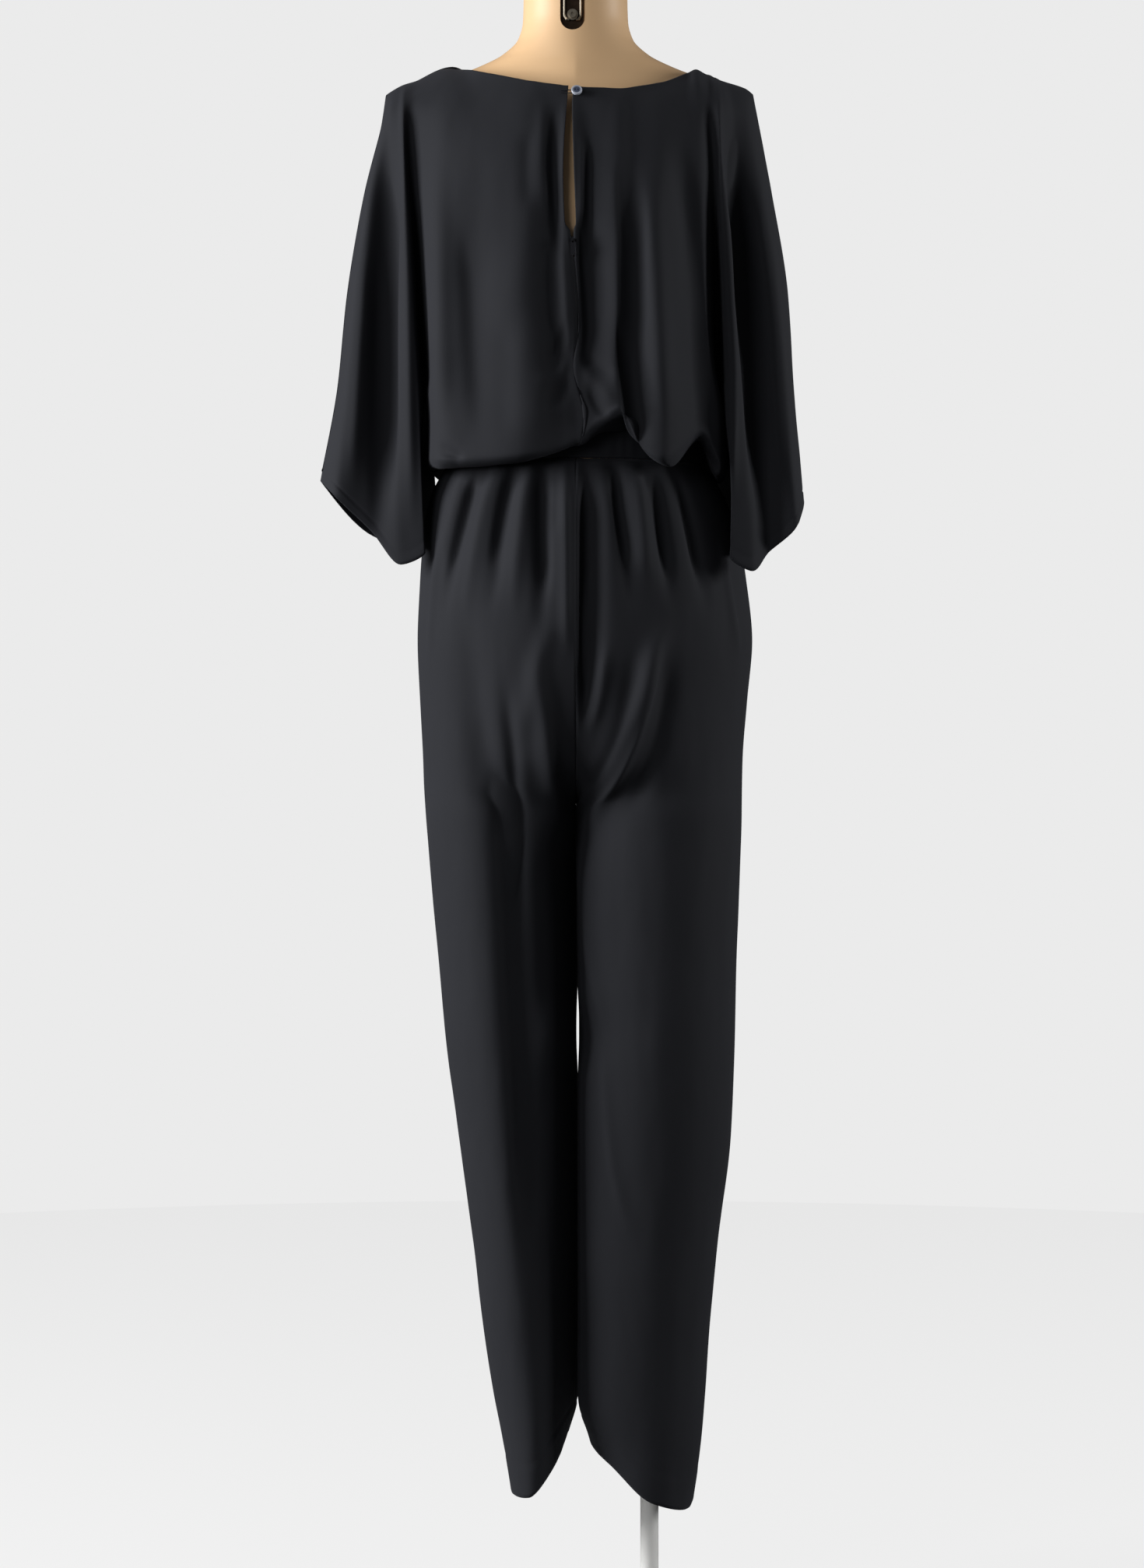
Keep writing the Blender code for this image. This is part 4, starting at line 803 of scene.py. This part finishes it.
def lofted(name, rings, middle, steps, clamp=None):
    """A closed smooth loft through plan rings."""
    table = np.array(rings, float)
    z = np.interp(np.linspace(0, len(rings) - 1, steps), np.arange(len(rings)), table[:, 0])
    half, back, fore, roundness = smooth(table[:, 0], table[:, 1:], z).T
    turn = np.linspace(0, 2 * math.pi, FORM_ROUND, endpoint=False)
    c, s = np.cos(turn), np.sin(turn)
    power = (2 / roundness)[:, None]
    x = half[:, None] * np.sign(c) * np.abs(c) ** power
    y = np.where(s > 0, fore[:, None], back[:, None]) * np.sign(s) * np.abs(s) ** power
    if clamp:
        x = np.clip(x, -clamp, clamp)
    bm = bmesh.new()
    loops = []
    for across_ring, deep, high in zip(middle + x, y, z):
        places = [(a * MM, d * MM, high * MM) for a, d in zip(across_ring, deep)]
        loops.append([bm.verts.new(place) for place in places])
    for low, high in zip(loops, loops[1:]):
        for j in range(FORM_ROUND):
            k = (j + 1) % FORM_ROUND
            bm.faces.new((low[j], low[k], high[k], high[j]))
    bm.faces.new(loops[0][::-1])
    bm.faces.new(loops[-1])
    bmesh.ops.recalc_face_normals(bm, faces=bm.faces)
    mesh = bpy.data.meshes.new(name)
    bm.to_mesh(mesh)
    bm.free()
    return linked(name, mesh)


def cut(target, tool, operation):
    """Applies a Boolean and removes its tool."""
    change = target.modifiers.new("cut", "BOOLEAN")
    change.operation = operation
    change.object = tool
    change.solver = "EXACT"
    choose(target)
    bpy.ops.object.modifier_apply(modifier="cut")
    bpy.data.objects.remove(tool)


def bar(radius, low, high, at, axis, sides=48):
    """A round bar from low to high along an axis, in millimetres."""
    deselect()
    middle = (low + high) / 2
    turn, place = {
        "Y": ((math.pi / 2, 0, 0), (at[0], middle, at[1])),
        "Z": ((0, 0, 0), (*at, middle)),
    }[axis]
    bpy.ops.mesh.primitive_cylinder_add(
        vertices=sides, radius=radius * MM, depth=(high - low) * MM,
        location=[v * MM for v in place], rotation=turn,
    )
    made = bpy.context.object
    bpy.ops.object.transform_apply(location=True, rotation=True, scale=True)
    return made


def block(low, high):
    """A box between two corners in millimetres."""
    deselect()
    low, high = Vector(low) * MM, Vector(high) * MM
    bpy.ops.mesh.primitive_cube_add(size=1, location=(low + high) / 2)
    made = bpy.context.object
    made.scale = high - low
    bpy.ops.object.transform_apply(location=True, rotation=True, scale=True)
    return made


RECESS_HALF, RECESS_LOW, RECESS_HIGH = 12.0, 1581.5, 1636.5
RECESS_OPEN, RECESS_FLOOR = -60.0, -42.0
FIT_X = 0.5


def dress_form(finish):
    form = lofted("dress_form", TORSO, FORM_X, TORSO_STEPS, ARM_END)
    for side in (-1, 1):
        cut(form, lofted("stump", STUMP, FORM_X + side * STUMP_X, STUMP_STEPS), "UNION")
    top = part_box("stand_rod")[1].z / MM + SOCKET_GAP
    cut(form, bar(SOCKET_RADIUS, SOCKET_FOOT, top, (FORM_X + STUMP_X, 0), "Z"), "DIFFERENCE")
    for z in (RECESS_LOW + RECESS_HALF, RECESS_HIGH - RECESS_HALF):
        cut(form, bar(RECESS_HALF, RECESS_OPEN, RECESS_FLOOR, (FIT_X, z), "Y", 64), "DIFFERENCE")
    low = FIT_X - RECESS_HALF, RECESS_OPEN, RECESS_LOW + RECESS_HALF
    high = FIT_X + RECESS_HALF, RECESS_FLOOR, RECESS_HIGH - RECESS_HALF
    cut(form, block(low, high), "DIFFERENCE")
    choose(form)
    bpy.ops.object.shade_smooth_by_angle(angle=math.radians(40))
    form.data.materials.clear()
    form.data.materials.append(finish)
    return form


# ---- materials -----------------------------------------------------------------------------------


def shade(code):
    """A hex sRGB colour as linear red, green, blue and alpha."""
    parts = [int(code[i : i + 2], 16) / 255 for i in (1, 3, 5)]
    return (*((p / 12.92 if p <= 0.04045 else ((p + 0.055) / 1.055) ** 2.4) for p in parts), 1)


def node(material, kind, inputs, **settings):
    """Adds a shader node, each input a value or the (node, output) that feeds it."""
    made = material.node_tree.nodes.new("ShaderNode" + kind)
    for name, value in settings.items():
        setattr(made, name, value)
    for socket, value in inputs.items():
        if isinstance(value, tuple) and isinstance(value[0], bpy.types.Node):
            material.node_tree.links.new(value[0].outputs[value[1]], made.inputs[socket])
        else:
            made.inputs[socket].default_value = value
    return made


def surface(name, **settings):
    """A material with its shader's fixed settings, and the shader."""
    material = bpy.data.materials.new(name)
    material.use_nodes = True
    shader = material.node_tree.nodes["Principled BSDF"]
    for key, value in settings.items():
        shader.inputs[key.replace("_", " ")].default_value = value
    return material, shader


def fed(material, target, **sockets):
    """Links a (node, output) to each named socket of the target, and gives the material back."""
    for key, (source, output) in sockets.items():
        socket = target.inputs[key.replace("_", " ")]
        material.node_tree.links.new(source.outputs[output], socket)
    return material


def crepe_cloth():
    """Woven polyester crepe: matt, pebbled by its twisted yarns, with a soft bloom on its folds."""
    material, shader = surface(
        "woven_crepe", Specular_IOR_Level=0.12,
        Sheen_Weight=0.1, Sheen_Roughness=0.5, Sheen_Tint=shade("#8A8C96"),
    )
    place = node(material, "TexCoord", {})
    wide = node(material, "TexNoise", {"Vector": (place, "Object"), "Scale": 9.0, "Detail": 3.0})
    colour = node(
        material, "Mix", {0: (wide, 0), 6: shade("#202125"), 7: shade("#26272B")}, data_type="RGBA"
    )
    rough = node(material, "MapRange", {"Value": (wide, 0), "To Min": 0.78, "To Max": 0.88})
    # Crepe yarns are 0.3 mm apart; the pebble is drawn at 0.9 mm so that it shows.
    grain = node(
        material, "TexNoise", {"Vector": (place, "Object"), "Scale": 1100.0, "Detail": 2.0}
    )
    bump = node(material, "Bump", {"Height": (grain, 0), "Strength": 0.25, "Distance": 0.0003})
    return fed(material, shader, Base_Color=(colour, 2), Roughness=(rough, 0), Normal=(bump, 0))


def moulded_form():
    """Moulded fibreglass in satin tan paint: smooth, with a faint mottle and a low gloss."""
    material, shader = surface("painted_moulding", Roughness=0.42, Specular_IOR_Level=0.4)
    place = node(material, "TexCoord", {})
    wide = node(material, "TexNoise", {"Vector": (place, "Object"), "Scale": 14.0, "Detail": 4.0})
    colour = node(
        material, "Mix", {0: (wide, 0), 6: shade("#DBB488"), 7: shade("#E0BD93")}, data_type="RGBA"
    )
    fine = node(material, "TexNoise", {"Vector": (place, "Object"), "Scale": 420.0, "Detail": 2.0})
    bump = node(material, "Bump", {"Height": (fine, 0), "Strength": 0.06, "Distance": 0.0004})
    return fed(material, shader, Base_Color=(colour, 2), Normal=(bump, 0))


def plated_steel():
    """Zinc plated steel: pale, slightly warm, with fine handling marks in its gloss."""
    material, shader = surface("zinc_plated_steel", Metallic=1.0, Base_Color=shade("#B3A998"))
    place = node(material, "TexCoord", {})
    marks = node(material, "TexNoise", {"Vector": (place, "Object"), "Scale": 900.0, "Detail": 3.0})
    rough = node(material, "MapRange", {"Value": (marks, 0), "To Min": 0.22, "To Max": 0.4})
    return fed(material, shader, Roughness=(rough, 0))


def blackened_steel():
    """Oxide blackened steel plate: dark brown to black, with a dull uneven gloss."""
    material, shader = surface("blackened_steel", Metallic=1.0)
    place = node(material, "TexCoord", {})
    patch = node(material, "TexNoise", {"Vector": (place, "Object"), "Scale": 260.0, "Detail": 4.0})
    colour = node(
        material, "Mix", {0: (patch, 0), 6: shade("#2B221B"), 7: shade("#463A30")}, data_type="RGBA"
    )
    rough = node(material, "MapRange", {"Value": (patch, 0), "To Min": 0.35, "To Max": 0.6})
    return fed(material, shader, Base_Color=(colour, 2), Roughness=(rough, 0))


RIM_HIGHLIGHT_INSIDE, RIM_HIGHLIGHT_OUTSIDE = 3.3, 4.3  # radii between which the painted highlight on the button's rim fades in, where its dish rises to its rim


def button_resin():
    """Cast polyester resin: navy, glossy, cloudy in its dish, and with a painted highlight that
    makes its raised rim paler.
    """
    material, shader = surface("cast_resin", Roughness=0.22)
    low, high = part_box("button")
    place = node(material, "TexCoord", {})
    cloud = node(
        material, "TexNoise", {"Vector": (place, "Object"), "Scale": 380.0, "Distortion": 2.0}
    )
    dish = node(
        material, "Mix", {0: (cloud, 0), 6: shade("#2A3040"), 7: shade("#596176")}, data_type="RGBA"
    )
    centred = node(
        material, "VectorMath", {0: (place, "Object"), 1: (low + high) / 2}, operation="SUBTRACT"
    )
    radius = node(material, "VectorMath", {0: (centred, 0)}, operation="LENGTH")
    # painted highlight: the raised rim is painted paler between the two rim radii, as where light
    # catches it
    rim = node(
        material, "MapRange",
        {"Value": (radius, "Value"), "From Min": RIM_HIGHLIGHT_INSIDE * MM, "From Max": RIM_HIGHLIGHT_OUTSIDE * MM},
    )
    colour = node(
        material, "Mix", {0: (rim, 0), 6: (dish, 2), 7: shade("#A9AEBB")}, data_type="RGBA"
    )
    return fed(material, shader, Base_Color=(colour, 2))


def lacquered_zip():
    """Black lacquered zinc: dark and glossy, with wear that dulls it in small patches."""
    material, shader = surface(
        "lacquered_zinc", Specular_IOR_Level=0.7, Base_Color=shade("#15161B")
    )
    place = node(material, "TexCoord", {})
    wear = node(material, "TexNoise", {"Vector": (place, "Object"), "Scale": 700.0, "Detail": 2.0})
    rough = node(material, "MapRange", {"Value": (wear, 0), "To Min": 0.12, "To Max": 0.3})
    return fed(material, shader, Roughness=(rough, 0))


def powder_coat():
    """White powder coat: satin, with the faint orange peel of baked powder."""
    material, shader = surface("powder_coat", Roughness=0.4, Base_Color=shade("#E6E6E4"))
    place = node(material, "TexCoord", {})
    peel = node(material, "TexNoise", {"Vector": (place, "Object"), "Scale": 500.0, "Detail": 1.0})
    bump = node(material, "Bump", {"Height": (peel, 0), "Strength": 0.12, "Distance": 0.0004})
    return fed(material, shader, Normal=(bump, 0))


# ---- stage ---------------------------------------------------------------------------------------

CAMERA_AWAY, CAMERA_HIGH = 3.2, 0.848
VIEW_TALL = 1.549  # height of what the camera sees in the garment's middle plane
SENSOR = 36.0
FLOOR_RADIUS, FLOOR_UNDER = 3.4, 0.0005  # the floor lies a little under the base
FLOOR_GLOW, AMBIENT = 0.77, 0.075
WHITE, DARK_GREY = (1, 1, 1, 1), (0.1, 0.1, 0.1, 1)

# Name, place, the point it aims at, width and power of each lamp.
LAMPS = (
    ("key", (-2.8, -0.75, 1.7), (0, 0, 0.85), 1.6, 140),
    ("rim", (2.9, -0.1, 1.7), (0, 0, 0.8), 1.0, 55),
    ("front", (-1.9, -2.9, 1.8), (0, 0, 1.15), 1.6, 28),
)


def floor_disc():
    material, _ = surface(
        "studio_floor", Roughness=0.9, Specular_IOR_Level=0.1, Base_Color=DARK_GREY,
        Emission_Color=WHITE, Emission_Strength=FLOOR_GLOW,
    )
    deselect()
    bpy.ops.mesh.primitive_circle_add(
        vertices=128, radius=FLOOR_RADIUS, fill_type="NGON", location=(0, 0, -FLOOR_UNDER)
    )
    floor = bpy.context.object
    floor.name = "floor"
    bpy.ops.object.transform_apply(location=True, rotation=True, scale=True)
    floor.data.materials.append(material)
    floor.visible_diffuse = False
    floor.visible_glossy = False


def surround():
    """White light all round, and a pale grey where the camera looks past everything."""
    world = bpy.data.worlds.new("studio")
    bpy.context.scene.world = world
    world.use_nodes = True
    ground = world.node_tree.nodes["Background"]
    ground.inputs["Color"].default_value = WHITE
    ground.inputs["Strength"].default_value = AMBIENT
    seen = node(world, "Background", {"Color": shade("#EBEBEB")})
    path = node(world, "LightPath", {})
    mix = node(world, "MixShader", {0: (path, "Is Camera Ray"), 1: (ground, 0), 2: (seen, 0)})
    fed(world, world.node_tree.nodes["World Output"], Surface=(mix, 0))


def lamps_and_camera():
    for name, place, aim, size, power in LAMPS:
        light = bpy.data.lights.new(name, "AREA")
        light.size = size
        light.energy = power
        lamp = linked(name, light)
        lamp.location = place
        lamp.rotation_euler = (Vector(aim) - Vector(place)).to_track_quat("-Z", "Y").to_euler()

    camera = bpy.data.cameras.new("camera")
    camera.sensor_width = SENSOR
    camera.lens = SENSOR * CAMERA_AWAY / VIEW_TALL
    eye = linked("camera", camera)
    eye.location = (0, -CAMERA_AWAY, CAMERA_HIGH)
    eye.rotation_euler = (math.pi / 2, 0, 0)
    bpy.context.scene.camera = eye
    bpy.context.scene.view_settings.view_transform = "Standard"


# ---- the whole -----------------------------------------------------------------------------------


def main():
    floor_disc()
    surround()
    lamps_and_camera()
    crepe = crepe_cloth()
    form = dress_form(moulded_form())
    tree = BVHTree.FromObject(form, bpy.context.evaluated_depsgraph_get())
    pieces = bodice(crepe, tree) + trousers(crepe, tree) + [waist_casing(crepe)]
    for piece in pieces:
        cad = piece.name.removesuffix("_cloth")
        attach(piece, "root")
        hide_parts(cad)
    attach(form, "root")
    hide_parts("form_torso")
    for names, finish in (
        (("neck_plate",), blackened_steel()),
        (("neck_loop", "neck_screw"), plated_steel()),
        (("zip_slider", "zip_pull"), lacquered_zip()),
        (("button",), button_resin()),
        (("button_loop",), crepe),
        (("stand_base", "stand_rod"), powder_coat()),
    ):
        for name in names:
            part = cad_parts[name]
            part.data.materials.clear()
            part.data.materials.append(finish)


main()
